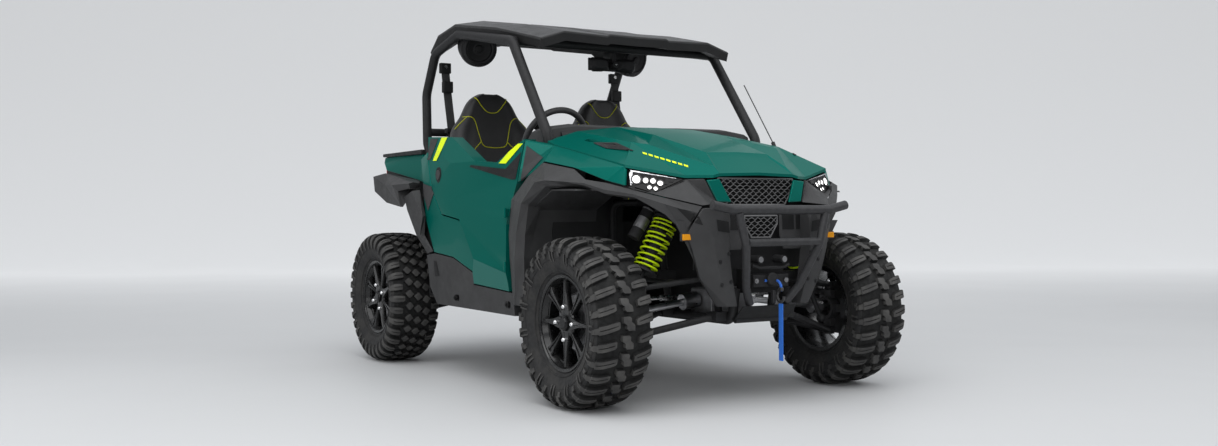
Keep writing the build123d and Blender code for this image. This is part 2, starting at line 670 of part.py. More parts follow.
# ================================================================ nose
def make_hood():
    """The hood with its raised centre panel, shoulders and side scoops."""
    corners = {
        "rear": (0, -556, 1196), "rear_panel": (-215, -560, 1192), "rear_ridge": (-440, -575, 1165),
        "rear_side": (-600, -590, 1118), "mid": (0, -835, 1148), "mid_panel": (-202, -835, 1142),
        "mid_bevel": (-246, -835, 1122), "panel_front": (0, -1180, 1052), "panel_corner": (-161, -1173, 1048),
        "step": (0, -1206, 1028), "step_corner": (-160, -1200, 1027), "foot_rear": (-346, -1017, 1085),
        "foot_mid": (-296, -1106, 1049), "foot_front": (-193, -1272, 985),
        "ridge_front": (-400, -965, 1096), "vent_rear": (-520, -640, 1130), "vent_front": (-425, -985, 1068),
        "side_rear": (-602, -661, 1098), "side_front": (-541, -1132, 992), "lamp": (-322, -1245, 948),
        "nose": (0, -1325, 960), "nose_corner": (-192, -1311, 955), "nose_edge": (-224, -1309, 948),
    }
    half = panel(corners, (
        "rear rear_panel mid_panel mid", "mid mid_panel panel_corner panel_front",
        "panel_front panel_corner step_corner step", "step step_corner nose_corner nose",
        "rear_panel rear_ridge ridge_front mid_bevel", "rear_panel mid_bevel mid_panel",
        "mid_panel mid_bevel foot_rear", "mid_bevel ridge_front foot_rear",
        "mid_panel foot_rear foot_mid foot_front panel_corner", "panel_corner foot_front step_corner",
        "step_corner foot_front nose_corner", "foot_front nose_edge nose_corner",
        "ridge_front lamp nose_edge foot_front foot_mid foot_rear", "rear_ridge vent_rear vent_front ridge_front",
        "rear_ridge rear_side vent_rear", "rear_side side_rear side_front vent_front vent_rear",
        "ridge_front vent_front side_front lamp",
    ), (0, 0, -HOOD_WALL)) - cage_side(CAGE_TUBE + 4)
    half -= upward([(-466, -720), (-424, -925), (-438, -938), (-498, -735)], 1040, 1180)      # side scoop
    return half + other_side(half)


def make_cowl():
    """The right hand body side between hood, door, flare and lamp, and the strip by the grille."""
    corners = {
        "door_top": (-668, -509, 1124), "pillar": (-604, -582, 1108), "hood_rear": (-606, -662, 1092),
        "hood_front": (-545, -1128, 986), "lamp_top": (-540, -1134, 972), "lamp_low": (-553, -1148, 905),
        "flare_front": (-604, -1085, 927), "flare_mid": (-660, -925, 985), "flare_high": (-690, -722, 1019),
        "flare_rear": (-700, -606, 966), "door_low": (-701, -497, 936), "door_mid": (-693, -499, 985),
    }
    side = panel(corners, (
        "door_top pillar hood_rear door_mid", "hood_rear flare_high flare_rear door_mid",
        "door_mid flare_rear door_low", "hood_rear hood_front flare_mid flare_high",
        "hood_front lamp_top flare_front flare_mid", "lamp_top lamp_low flare_front",
    ), (PANEL_WALL, 0, 0)) - cage_side(CAGE_TUBE + 4)
    strip = panel({
        "top": (-197, -1314, 932), "top_out": (-258, -1310, 926), "low_out": (-222, -1332, 838),
        "low": (-152, -1336, 836),
    }, ("top top_out low_out low",), (0, PANEL_WALL, 0))
    return [side, strip]


def make_flare():
    """The right hand front flare: a ring of flat facets round the wheel arch, and its liner."""
    rear = -AXLE_Y + TYRE_RADIUS + ARCH_GAP      # the lip behind the tyre
    rings = [   # body edge, outer ridge, lip, inner edge at stations round the arch
        [(-712, -470, 395), (-752, rear + 83, 395), (-745, rear, 395), (-700, rear + 11, 395)],
        [(-718, -447, 600), (-768, rear + 53, 600), (-748, rear, 600), (-700, rear + 11, 600)],
        [(-716, -437, 705), (-767, rear + 38, 705), (-746, rear - 7, 705), (-700, rear + 3, 705)],
        [(-714, -463, 860), (-769, rear - 14, 840), (-746, rear - 39, 833), (-690, rear - 39, 820)],
        [(-701, -600, 960), (-770, -786, 928), (-746, -838, 909), (-680, -838, 897)],
        [(-691, -717, 1014), (-768, -868, 933), (-742, -890, 910), (-675, -890, 896)],
        [(-662, -930, 979), (-733, -975, 925), (-712, -955, 909), (-660, -955, 896)],
        [(-668, -1035, 932), (-686, -1048, 918), (-683, -1046, 908), (-640, -1040, 894)],
        [(-603, -1090, 918), (-628, -1112, 890), (-627, -1110, 875), (-590, -1095, 866)],
        [(-537, -1173, 890), (-546, -1202, 870), (-541, -1206, 857), (-505, -1185, 850)],
        [(-430, -1268, 853), (-455, -1290, 830), (-452, -1292, 787), (-415, -1262, 790)],
        [(-332, -1376, 818), (-352, -1372, 790), (-378, -1318, 712), (-345, -1290, 730)],
    ]
    flare = facets(rings)
    inner = LINER_X
    rows = [[(-716, y, z), (inner, y, z)] for y, z in (
        (rear + 6, 398), (rear + 6, 705), (rear - 12, 812), (-838, 890), (-960, 889), (-1035, 887))]
    return flare + sheet(rows, (0, 7, 7))


def make_leg():
    """The right hand leg of the lower fascia."""
    rings = [
        [(-334, -1387, 812), (-228, -1408, 812), (-206, -1380, 812), (-206, -1336, 812), (-322, -1332, 800)],
        [(-353, -1384, 787), (-250, -1405, 760), (-208, -1401, 760), (-206, -1340, 760), (-338, -1306, 740)],
        [(-378, -1330, 704), (-292, -1402, 690), (-212, -1402, 690), (-206, -1340, 690), (-348, -1302, 700)],
        [(-355, -1342, 640), (-285, -1398, 640), (-212, -1398, 640), (-206, -1340, 640), (-335, -1306, 640)],
        [(-321, -1342, 530), (-258, -1396, 530), (-196, -1396, 530), (-190, -1342, 530), (-306, -1310, 530)],
        [(-238, -1346, 412), (-214, -1384, 412), (-166, -1388, 412), (-152, -1345, 412), (-226, -1320, 412)],
    ]
    return facets(rings)


def make_fascia():
    """The charcoal nose: the panels under the lamps and the two legs down to the skid plate."""
    corners = {
        "lamp_in": (-322, -1252, 930), "strip_top": (-268, -1309, 931), "strip_low": (-228, -1334, 836),
        "bar": (-300, -1385, 826), "edge": (-331, -1380, 822), "edge_mid": (-430, -1270, 857),
        "edge_out": (-537, -1175, 894), "lamp_out": (-540, -1162, 902), "lamp_low": (-452, -1220, 872),
        "lamp_side": (-336, -1258, 926),
    }
    face = panel(corners, (
        "lamp_in strip_top strip_low bar", "lamp_in bar edge edge_mid lamp_low lamp_side",
        "lamp_low edge_mid edge_out lamp_out",
    ), (0, PANEL_WALL, 0))
    return [face, make_leg()]


def make_headlamp():
    """The right hand headlamp with its slanted lens."""
    corners = {
        "in_top": (-326, -1240, 931), "out_top": (-524, -1148, 970), "out_low": (-536, -1160, 907),
        "low": (-452, -1213, 876), "in_low": (-338, -1250, 928),
    }
    return panel(corners, ("in_top out_top out_low low in_low",), (0, LAMP_DEPTH, 0))


def make_grille(outline, front):
    """A net of six sided openings inside a rim, from its (x, z) outline."""
    plate = make_face(Polyline(*outline, close=True))
    field = offset(plate, amount=-GRILLE_RIM, kind=Kind.INTERSECTION)
    middle = plate.center()
    for i in range(-8, 9):
        for j in range(-4, 5):
            x, z = middle.X + i * GRILLE_PITCH * 0.87, middle.Y + (j + i % 2 / 2) * GRILLE_PITCH
            field_hole = Pos(x, z) * RegularPolygon(GRILLE_PITCH * 0.5, 6) & field
            plate -= field_hole
    return extrude(Plane(origin=(0, front, 0), x_dir=(1, 0, 0), z_dir=(0, -1, 0)) * plate, amount=-GRILLE_WALL)


def make_bumper():
    """The front bumper: a top bar with raised ends, two bent uprights and a cross bar."""
    bar = tube([(-348, -1466, 823), (-249, -1475, 803), (249, -1475, 803), (348, -1466, 823)], 19, 40)
    for side in (-1, 1):
        bar += tube([(side * 226, -1478, 790), (side * 192, -1481, 663), (side * 138, -1410, 487),
                     (side * 96, -1377, 421)], 17, 60)
    return bar + rod((-186, -1484, 672), (186, -1484, 672), 16)


def nose_parts():
    """Hood, cowl, fascia, flares, grilles, lamps, bumper and winch."""
    save("hood", make_hood())
    save("front_cowl", both(make_cowl()))
    save("front_fenders", both(make_flare()))
    save("front_fascia", both(make_fascia()))
    upper = [(-190, 934), (190, 934), (200, 911), (148, 836), (-148, 836), (-200, 911)]
    lower = [(-86, 780), (86, 780), (86, 745), (50, 690), (-50, 690), (-86, 745)]
    save("grilles", make_grille(upper, -1300), make_grille(lower, -1332))
    save("headlamps", both(make_headlamp()))
    save("front_bumper", make_bumper())
    winch = block((-95, 95), (-1360, -1290), (462, 560)) + block((-96, 96), (-1392, -1360), (486, 540))
    winch -= block((-62, 62), (-1393, -1368), (503, 523))
    for z in (496, 530):
        winch += rod((-66, -1393, z), (66, -1393, z), 7)
    save("winch", winch)


# ================================================================ cab
def floor_parts():
    """Floor pan with its toe board, seat base and bulkhead, and the skid plate."""
    line = [(-625, 760), (-623, 470), (-560, FLOOR_Z), (640, FLOOR_Z), (640, 980)]
    pan = across(thicken_line(line, FLOOR_WALL), -FLOOR_HALF, FLOOR_HALF)
    top = FLOOR_Z + FLOOR_WALL - 1
    base = across([(60, top), (560, top), (560, 600), (40, 640)], -600, 600)
    base -= across([(80, top - 5), (540, top - 5), (540, 582), (62, 618)], -580, 580)
    save("floor_tub", pan + base)
    plate_z = RAIL_Z - RAIL_TUBE - GAP
    skid = across(thicken_line([(-1392, 412), (-1335, plate_z), (1230, plate_z)], -SKID_WALL), -205, 205)
    save("skid_plate", skid)


def cab_parts():
    """Dash, seats, cage, roof and what hangs from them."""
    dash = across([(-640, 930), (-400, 900), (-380, 1000), (-400, 1110), (-470, 1182), (-548, 1162), (-640, 1050)],
                  -505, 505)
    column = COLUMN * (Pos(0, 0, -160) * Cylinder(24, 130))
    bore = COLUMN * (Pos(0, 0, -160) * Cylinder(15.5, 134))
    save("dashboard", dash + column - bore)
    cushion = block((-SEAT_X - SEAT_WIDTH / 2, -SEAT_X + SEAT_WIDTH / 2), (60, 520), (645, 760))
    save("seat_cushions", both(cushion))
    back = loft([
        Plane(origin=(-SEAT_X, 455, 765)) * Rectangle(SEAT_WIDTH, 110),
        Plane(origin=(-SEAT_X, 470, 900)) * Rectangle(SEAT_WIDTH, 120),
        Plane(origin=(-SEAT_X, 490, 1225)) * Rectangle(SEAT_WIDTH, 110),
        Plane(origin=(-SEAT_X, 505, 1302)) * Rectangle(SEAT_WIDTH * 0.72, 95),
        Plane(origin=(-SEAT_X, 512, 1395)) * Rectangle(SEAT_WIDTH * 0.48, 80),
        Plane(origin=(-SEAT_X, 515, 1432)) * Rectangle(SEAT_WIDTH * 0.24, 60),
    ], ruled=True)
    save("seat_backs", both(back))
    side = cage_side(CAGE_TUBE)
    cage = side + other_side(side)
    for y, z in ((-213, 1609), (372, 1705)):
        cage += rod((-CAGE_X, y, z), (CAGE_X, y, z), CAGE_TUBE - 3)
    cage += rod((-CAGE_X, 778, 1240), (CAGE_X, 778, 1240), CAGE_TUBE - 3)
    save("roll_cage", cage)
    rows = [[(x, y, z) for x, z in mirrored_line(line)] for y, line in (
        (-420, [(0, 1640), (160, 1642), (175, 1634), (410, 1640), (535, 1600)]),
        (-64, [(0, 1716), (160, 1720), (175, 1712), (430, 1718), (585, 1690)]),
        (370, [(0, 1792), (160, 1796), (175, 1788), (440, 1792), (600, 1762)]),
        (600, [(0, 1806), (160, 1808), (175, 1802), (440, 1802), (592, 1735)]),
        (735, [(0, 1770), (160, 1770), (175, 1765), (430, 1762), (575, 1668)]),
    )]
    save("roof", sheet(rows, (0, 0, -ROOF_WALL)))


# ================================================================ bed
def make_bed_flare():
    """The right hand rear flare, carried by the bed."""
    rings = [   # outwards from the bed's wall, y, z of five points round the section, rear end first
        [(115, 1268, 1015), (115, 1258, 970), (115, 1248, 931), (55, 1250, 935), (55, 1262, 1012)],
        [(77, 1180, 1032), (127, 1060, 962), (127, 1040, 865), (55, 1060, 865), (55, 1180, 1028)],
        [(135, 800, 990), (190, 800, 955), (180, 708, 838), (166, 708, 838), (55, 800, 986)],
        [(140, 745, 980), (185, 745, 957), (177, 752, 921), (166, 752, 921), (55, 745, 976)],
        [(150, 612, 966), (175, 606, 958), (165, 617, 935), (115, 640, 935), (113, 612, 960)],
    ]
    return facets([[(-BED_HALF - out, y, z) for out, y, z in ring] for ring in rings])


def bed_parts():
    """The dump bed with its panels, flares, lamps and tailgate."""
    tub = block((-BED_HALF, BED_HALF), (BED_FRONT, BED_REAR), (BED_FLOOR - BED_WALL, BED_TOP))
    tub -= block((-BED_HALF + BED_WALL, BED_HALF - BED_WALL), (BED_FRONT + BED_WALL, BED_REAR + 10),
                 (BED_FLOOR, BED_TOP + 10))
    lug = block((-230, -212), (HINGE_Y - 16, HINGE_Y + 10), (HINGE_Z, BED_FLOOR - BED_WALL))
    lug += rod((-230, HINGE_Y, HINGE_Z), (-212, HINGE_Y, HINGE_Z), 11)
    lug -= rod((-231, HINGE_Y, HINGE_Z), (-211, HINGE_Y, HINGE_Z), HINGE_PIN + 0.3)
    save("bed_tub", tub + lug + other_side(lug))
    top, low, wing = -BED_HALF - 19, -BED_HALF - 37, -BED_HALF - 49
    side = panel({
        "top_front": (top, 790, 1134), "top_rear": (top, 1330, 1126), "back": (top, 1345, 1096),
        "low_rear": (low, 1267, 1052), "low_front": (low, 802, 983), "front": (wing, 700, 966),
        "top_edge": (wing, 722, 1085),
    }, ("top_front top_rear back low_rear low_front", "top_front low_front front top_edge"), (16, 0, 0))
    save("bed_side_panels", both(side))
    save("bed_flares", both(make_bed_flare()))
    lamp = block((-BED_HALF + 2, -BED_HALF + BED_WALL), (BED_REAR + GAP, BED_REAR + 12), (985, 1095))
    save("tail_lamps", both(lamp))
    gate = block((-GATE_HALF, GATE_HALF), (BED_REAR - TAILGATE_WALL, BED_REAR), (GATE_Z - 2, BED_TOP - 4))
    gate += rod((-GATE_HALF, BED_REAR, GATE_Z), (GATE_HALF, BED_REAR, GATE_Z), GATE_PIN)
    recess = block((-GATE_HALF + 90, GATE_HALF - 90), (BED_REAR - 9, BED_REAR + 1), (GATE_Z + 45, BED_TOP - 60))
    save("tailgate", gate - recess)


# ================================================================ controls, drive and equipment
def make_steering_wheel():
    """A three spoke steering wheel on a stub of its column."""
    ring = Torus(STEER_WHEEL_RADIUS - 14, 14)
    hub = Cylinder(38, 30)
    stub = Pos(0, 0, -55) * Cylinder(14, 80)
    wheel = ring + hub + stub
    for turn in (90, 210, 330):
        wheel += Rot(0, 0, turn) * Pos(STEER_WHEEL_RADIUS / 2 - 6, 0, 0) * Box(STEER_WHEEL_RADIUS - 22, 26, 10)
    return COLUMN * wheel


def control_parts():
    """Steering wheel, console, mirror, belts, antenna and speaker pods."""
    save("steering_wheel", make_steering_wheel())
    console = across([(-380, FLOOR_Z + FLOOR_WALL + GAP), (35, FLOOR_Z + FLOOR_WALL + GAP), (35, 690), (-300, 720),
                      (-380, 860)], -95, 95)
    console += rod((0, -150, 700), (0, -130, 800), 9) + ball(0, -128, 812, 22)
    save("centre_console", console)
    mirror_body = block((-130, 130), (-200, -165), (1502, 1562)) + block((-24, 24), (-236, -185), (1550, 1587))
    save("mirror", mirror_body)
    pods = facets([
        [(-330, 420, 1600), (-330, 420, 1675), (-330, 540, 1675), (-330, 540, 1600)],
        [(-400, 290, 1560), (-400, 290, 1675), (-400, 560, 1675), (-400, 560, 1560)],
        [(-520, 420, 1570), (-520, 420, 1675), (-520, 560, 1675), (-520, 560, 1570)],
    ])
    save("speaker_pods", both(pods))
    belt = across([(560, 1080), (572, 1080), (640, 1560), (628, 1560)], -540, -492)
    save("seat_belts", both(belt))
    mast = rod((437, -900, 1092), (437, -885, 1120), 9) + rod((437, -885, 1119), (430, -680, 1405), 2.5)
    save("antenna", mast - make_hood())


def drive_parts():
    """Engine, gearboxes, muffler, rear bumper with its hitch receiver, and the winch's hook."""
    save("engine", block((-145, 145), (660, 850), (392, 760)))
    gearboxes = []
    for axle_y, (x_span, y_span, z_span) in ((-AXLE_Y, FRONT_DIFF), (AXLE_Y, REAR_DIFF)):
        gearboxes.append(block(x_span, [axle_y + y for y in y_span], z_span))
    gearboxes.append(rod((0, -AXLE_Y + FRONT_DIFF[1][1] + GAP, 392), (0, -640, 392), 13))
    save("gearboxes", gearboxes)
    muffler = Pos(0, 1190, 640) * Rot(0, 90, 0) * Cylinder(75, 208)
    save("muffler", muffler)
    bar = tube([(-300, 1300, 700), (-300, 1430, 560), (300, 1430, 560), (300, 1300, 700)], 20, 60)
    receiver = block((-38, 38), (1280, HITCH_END), (430, 506)) - block((-26, 26), (1290, HITCH_END + 5), (442, 494))
    receiver -= rod((-40, HITCH_PIN_Y, 468), (40, HITCH_PIN_Y, 468), HITCH_PIN_HOLE)
    plate = block((-110, 110), (1262, 1282), (400, 560))
    save("rear_bumper", bar + receiver + plate + rod((0, 1400, 560), (0, 1400, 500), 14))
    hook = Pos(18, -1440, 452) * Rot(0, 90, 0) * Torus(24, 7)
    hook += rod((18, -1398, 512), (18, -1440, 480), 6)
    save("winch_hook", hook)
    save("winch_strap", STRAP_PLACE * Box(3, STRAP_WIDTH, STRAP_LENGTH))


os.makedirs("parts", exist_ok=True)
wheel_parts()
suspension_parts()
save("chassis_frame", frame_parts())
floor_parts()
side_parts()
nose_parts()
cab_parts()
bed_parts()
control_parts()
drive_parts()
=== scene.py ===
import json
import math
import random
from math import cos, pi, radians, sin

import bmesh
import bpy
from mathutils import Matrix, Vector
from mathutils.bvhtree import BVHTree

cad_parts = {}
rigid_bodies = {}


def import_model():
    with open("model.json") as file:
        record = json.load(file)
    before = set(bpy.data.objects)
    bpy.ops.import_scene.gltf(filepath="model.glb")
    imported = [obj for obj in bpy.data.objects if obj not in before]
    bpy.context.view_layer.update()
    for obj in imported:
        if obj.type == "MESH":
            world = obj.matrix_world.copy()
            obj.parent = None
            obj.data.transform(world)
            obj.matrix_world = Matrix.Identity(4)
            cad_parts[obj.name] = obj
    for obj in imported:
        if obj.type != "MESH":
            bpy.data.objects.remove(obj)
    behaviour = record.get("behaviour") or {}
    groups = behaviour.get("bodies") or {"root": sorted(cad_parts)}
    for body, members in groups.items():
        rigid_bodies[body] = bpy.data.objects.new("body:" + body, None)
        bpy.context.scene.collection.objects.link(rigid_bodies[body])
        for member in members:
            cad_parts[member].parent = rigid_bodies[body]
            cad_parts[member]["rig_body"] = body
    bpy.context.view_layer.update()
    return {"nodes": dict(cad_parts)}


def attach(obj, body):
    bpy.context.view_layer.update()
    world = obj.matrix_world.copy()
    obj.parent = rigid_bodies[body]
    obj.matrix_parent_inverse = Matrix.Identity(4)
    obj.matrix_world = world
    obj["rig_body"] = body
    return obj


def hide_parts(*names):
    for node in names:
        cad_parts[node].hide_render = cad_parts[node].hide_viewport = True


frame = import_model()
NODES = frame["nodes"]
SIDES = (("right", 1), ("left", -1))        # the sign turns over what is made for the right
scene = bpy.context.scene

# ----- camera
PHOTO_WIDTH, PHOTO_MIDDLE_Y = 1218, 223
YAW, PITCH, ROLL = 0.554968, 0.0136626, -0.0068790
FOCAL_PX = 1219.8
EYE = Vector((-3.21286, -5.31727, 0.78397))
AXIS_DROP_PX = 9.456
SENSOR_MM = 36


def make_camera():
    """The photograph's camera, fitted to the wheels, bumper and roof."""
    ahead = Vector((sin(YAW) * cos(PITCH), cos(YAW) * cos(PITCH), -sin(PITCH)))
    right = Vector((cos(YAW), -sin(YAW), 0))
    up = right.cross(ahead)
    right, up = right * cos(ROLL) + up * sin(ROLL), up * cos(ROLL) - right * sin(ROLL)
    data = bpy.data.cameras.new("camera")
    data.sensor_width = SENSOR_MM
    data.lens = FOCAL_PX / PHOTO_WIDTH * SENSOR_MM
    data.shift_y = AXIS_DROP_PX / PHOTO_WIDTH
    data.clip_end = 200
    camera = bpy.data.objects.new("camera", data)
    matrix = Matrix((right, up, -ahead)).transposed().to_4x4()
    matrix.translation = EYE
    camera.matrix_world = matrix
    scene.collection.objects.link(camera)
    scene.camera = camera


make_camera()


# ----- materials
def new_material(name, color, rough, **inputs):
    """A Principled material with its shader; in the inputs' names an underscore stands for a space."""
    material = bpy.data.materials.new(name)
    material.use_nodes = True
    shader = material.node_tree.nodes["Principled BSDF"]
    for key, value in {"Base_Color": (*color, 1), "Roughness": rough, **inputs}.items():
        shader.inputs[key.replace("_", " ")].default_value = value
    return material, shader


def add_node(near, kind, output, setup=(), **inputs):
    """One output of a new node in the tree of another; its inputs are numbers or sockets."""
    tree = near.id_data
    node = tree.nodes.new("ShaderNode" + kind)
    for key, value in setup:
        setattr(node, key, value)
    for key, value in inputs.items():
        socket = node.inputs[key.replace("_", " ")]
        if isinstance(value, bpy.types.NodeSocket):
            tree.links.new(value, socket)
        else:
            socket.default_value = value
    return node.outputs[output]


def drive(node, name, source):
    """Link an input of a node to a socket."""
    node.id_data.links.new(source, node.inputs[name])


def coordinates(near):
    """Object coordinates, in metres."""
    return add_node(near, "TexCoord", "Object")


def noise(near, scale, detail=3.0):
    return add_node(near, "TexNoise", "Fac", Scale=scale, Detail=detail, Vector=coordinates(near))


def cells(near, scale):
    return add_node(near, "TexVoronoi", "Distance", Scale=scale, Vector=coordinates(near))


def ramp(near, source, low, high, start=0.3, end=0.7):
    """A map from a texture value to a range of numbers."""
    return add_node(near, "MapRange", "Result", From_Min=start, From_Max=end, To_Min=low, To_Max=high,
                    Value=source)


def mix_colour(shader, factor, first, second):
    """The base colour, between two colours or sockets."""
    mixed = add_node(shader, "Mix", "Result", [("data_type", "RGBA")], Factor=factor, A=first, B=second)
    drive(shader, "Base Color", mixed)


def tint(shader, source, color, dark, light, start=0.35, end=0.65):
    """Vary the base colour between two shares of a colour by a texture value."""
    ends = [(*(min(1.0, c * share) for c in color), 1) for share in (dark, light)]
    mix_colour(shader, ramp(shader, source, 0, 1, start, end), *ends)


def roughen(shader, source, low, high):
    drive(shader, "Roughness", ramp(shader, source, low, high))


def bump(shader, source, depth, strength=1.0):
    """Bump by a texture value, depth in metres; more calls add up."""
    links = shader.inputs["Normal"].links
    before = {"Normal": links[0].from_socket} if links else {}
    drive(shader, "Normal", add_node(shader, "Bump", "Normal", Distance=depth, Strength=strength,
                                     Height=source, **before))


def plastic(name, color, rough, grain_scale=700.0, grain_depth=0.00025, spread=0.12):
    """Moulded plastic with a fine grain and slightly uneven tone."""
    material, shader = new_material(name, color, rough, Specular_IOR_Level=0.24)
    tint(shader, noise(shader, 9), color, 1 - spread, 1 + spread)
    roughen(shader, noise(shader, 25), rough - 0.05, rough + 0.06)
    bump(shader, cells(shader, grain_scale), grain_depth)
    return material


def metal(name, color, rough, metallic=1.0, scale=60.0, depth=0.0002, coat=0.0, specular=0.5):
    """Bare or coated metal with a fine uneven surface."""
    material, shader = new_material(name, color, rough, Metallic=metallic, Coat_Weight=coat,
                                    Coat_Roughness=0.05, Specular_IOR_Level=specular)
    tint(shader, noise(shader, scale / 4), color, 0.85, 1.12)
    roughen(shader, noise(shader, scale, 4), rough - 0.06, rough + 0.1)
    bump(shader, noise(shader, scale * 4, 2), depth)
    return material


def paint():
    """Body paint with a clear coat, fine flakes, a trace of orange peel, and a painted reflection of the pale
    floor on facets that lean down.
    """
    green = (0.0002, 0.108, 0.084)
    material, shader = new_material("green_paint", green, 0.36, Metallic=0.3, Coat_Weight=0.12,
                                    Coat_Roughness=0.06, Specular_IOR_Level=0.06,
                                    Specular_Tint=(0.25, 0.9, 0.8, 1))
    tint(shader, cells(shader, 2600), green, 0.93, 1.1, 0.1, 0.6)
    flakes = shader.inputs["Base Color"].links[0].from_socket
    normal = add_node(shader, "NewGeometry", "Normal")
    rise = add_node(shader, "SeparateXYZ", "Z", Vector=normal)
    # painted reflection: facets that lean down are painted paler and greyer, as if they mirrored the pale
    # floor
    mix_colour(shader, ramp(shader, rise, 1, 0, -0.16, 0.02), flakes, (0.03, 0.15, 0.125, 1))
    bump(shader, noise(shader, 130, 1), 0.00012)
    return material


def rubber(name, color, dust):
    """Tyre rubber with a paler dust tone mixed in at random."""
    material, shader = new_material(name, color, 0.72, Specular_IOR_Level=0.35)
    mix_colour(shader, ramp(shader, noise(shader, 14, 6), 0, 1, 0.42, 0.62), (*color, 1), (*dust, 1))
    roughen(shader, noise(shader, 60), 0.6, 0.85)
    bump(shader, noise(shader, 420, 4), 0.0004)
    return material


def vinyl(name, color, rough):
    """Seat vinyl with a leather grain."""
    material, shader = new_material(name, color, rough, Specular_IOR_Level=0.45, Sheen_Weight=0.15)
    tint(shader, noise(shader, 12), color, 0.85, 1.2)
    bump(shader, cells(shader, 420), 0.0005)
    bump(shader, noise(shader, 30, 2), 0.0008)
    return material


def weave(name, color, pitch, rough):
    """Woven fabric or webbing: two crossed sets of threads."""
    material, shader = new_material(name, color, rough, Sheen_Weight=0.3)
    for direction in ("X", "Z"):
        wave = add_node(shader, "TexWave", "Fac", [("wave_type", "BANDS"), ("bands_direction", direction)],
                        Scale=0.32 / pitch, Distortion=0.4, Vector=coordinates(shader))
        bump(shader, wave, 0.0004, 0.7)
    tint(shader, wave, color, 0.75, 1.15, 0.2, 0.8)
    return material


def glow(name, color, strength):
    return new_material(name, (0.9, 0.9, 0.9), 0.3, Emission_Color=(*color, 1), Emission_Strength=strength)[0]


MATERIALS = {       # key: slot, material
    "paint": ("paint", paint()),
    "trim": ("trim", plastic("charcoal_plastic", (0.043, 0.043, 0.044), 0.58)),
    "trim_dark": ("trim", plastic("dark_plastic", (0.02, 0.02, 0.021), 0.52)),
    "net": ("trim", plastic("grille_plastic", (0.15, 0.15, 0.152), 0.42)),
    "roof": ("trim", plastic("roof_plastic", (0.036, 0.036, 0.037), 0.4)),
    "black": ("black", plastic("black_plastic", (0.011, 0.011, 0.0115), 0.55)),
    "gloss_black": ("black", plastic("gloss_black_plastic", (0.008, 0.008, 0.0085), 0.16, 300, 0.00002)),
    "yellow": ("paint", plastic("yellow_vinyl", (0.78, 0.98, 0.004), 0.38, 500, 0.00003, 0.03)),
    "amber": ("lens", plastic("amber_reflector", (0.75, 0.3, 0.01), 0.25, 160, 0.0006, 0.05)),
    "red": ("red", plastic("red_lamp", (0.5, 0.012, 0.008), 0.18, 200, 0.0004, 0.05)),
    "tyre": ("tyre", rubber("tyre_rubber", (0.019, 0.019, 0.0195), (0.03, 0.029, 0.028))),
    # painted shade: the groove rubber is darker than the carcass, for the shade in the grooves and between
    # the lugs
    "groove": ("tyre", rubber("groove_painted_shade_rubber", (0.006, 0.006, 0.006), (0.009, 0.009, 0.0085))),
    # painted light: the lug rubber is paler than the carcass, for the lit tops of the lugs
    "lug": ("tyre", rubber("tread_painted_light_rubber", (0.045, 0.044, 0.043), (0.07, 0.068, 0.065))),
    "rim": ("rim", metal("rim_black", (0.006, 0.006, 0.0063), 0.26, 0.2, 40, 0.00003, coat=0.25)),
    "coated": ("black_steel", metal("powder_coat", (0.02, 0.02, 0.021), 0.5, 0.1, 220, 0.00018,
                                    specular=0.25)),
    "bumper": ("black_steel", metal("bumper_coat", (0.036, 0.036, 0.038), 0.45, 0.15, 220, 0.00018,
                                    specular=0.35)),
    "steel": ("steel", metal("steel", (0.42, 0.42, 0.43), 0.32)),
    "zinc": ("steel", metal("zinc", (0.6, 0.6, 0.6), 0.24)),
    "alloy": ("alloy", metal("cast_alloy", (0.33, 0.33, 0.34), 0.42, 0.9, 120, 0.0005)),
    "chrome": ("steel", metal("chrome", (0.85, 0.85, 0.86), 0.07)),
    "iron": ("iron", metal("dark_iron", (0.07, 0.07, 0.072), 0.5, 0.6, 90, 0.0006)),
    "lime": ("spring", plastic("lime_coat", (0.66, 0.9, 0.006), 0.32, 300, 0.00004, 0.04)),
    "vinyl": ("seat", vinyl("seat_vinyl", (0.012, 0.012, 0.0125), 0.48)),
    "vinyl_panel": ("seat", vinyl("seat_panel", (0.019, 0.019, 0.02), 0.55)),
    "piping": ("seat", plastic("piping", (0.42, 0.43, 0.01), 0.5, 400, 0.0001)),
    "belt": ("belt", weave("belt_webbing", (0.018, 0.018, 0.019), 0.0022, 0.8)),
    "blue_web": ("strap", weave("blue_webbing", (0.0, 0.16, 0.72), 0.003, 0.62)),
    "blue_rope": ("strap", weave("blue_rope", (0.0, 0.12, 0.6), 0.003, 0.62)),
    "led": ("lens", glow("led", (1.0, 0.98, 0.96), 2.2)),
    "reflector": ("lens", metal("reflector", (0.8, 0.8, 0.82), 0.12)),
    "rubber": ("rubber", rubber("rubber", (0.016, 0.016, 0.0165), (0.022, 0.022, 0.022))),
    "screen": ("mirror", metal("mirror_glass", (0.75, 0.76, 0.78), 0.03, 1.0, 20, 0.00001)),
}


# ----- mesh helpers
def link(name, bm):
    """An object in the scene from a bmesh."""
    mesh = bpy.data.meshes.new(name)
    bm.to_mesh(mesh)
    bm.free()
    obj = bpy.data.objects.new(name, mesh)
    scene.collection.objects.link(obj)
    return obj


def cover(mesh, mat, angle=32):
    """A mesh's material and smoothing; its edges stay sharp above an angle in degrees."""
    mesh.materials.clear()
    mesh.materials.append(MATERIALS[mat][1])
    mesh.shade_smooth()
    mesh.set_sharp_from_angle(angle=radians(angle))


def roll_edges(obj, width, angle):
    """A bevel with its width in mm and its least angle in degrees."""
    modifier = obj.modifiers.new("bevel", "BEVEL")
    modifier.width = width / 1000
    modifier.segments = 2
    modifier.limit_method = "ANGLE"
    modifier.angle_limit = radians(angle)


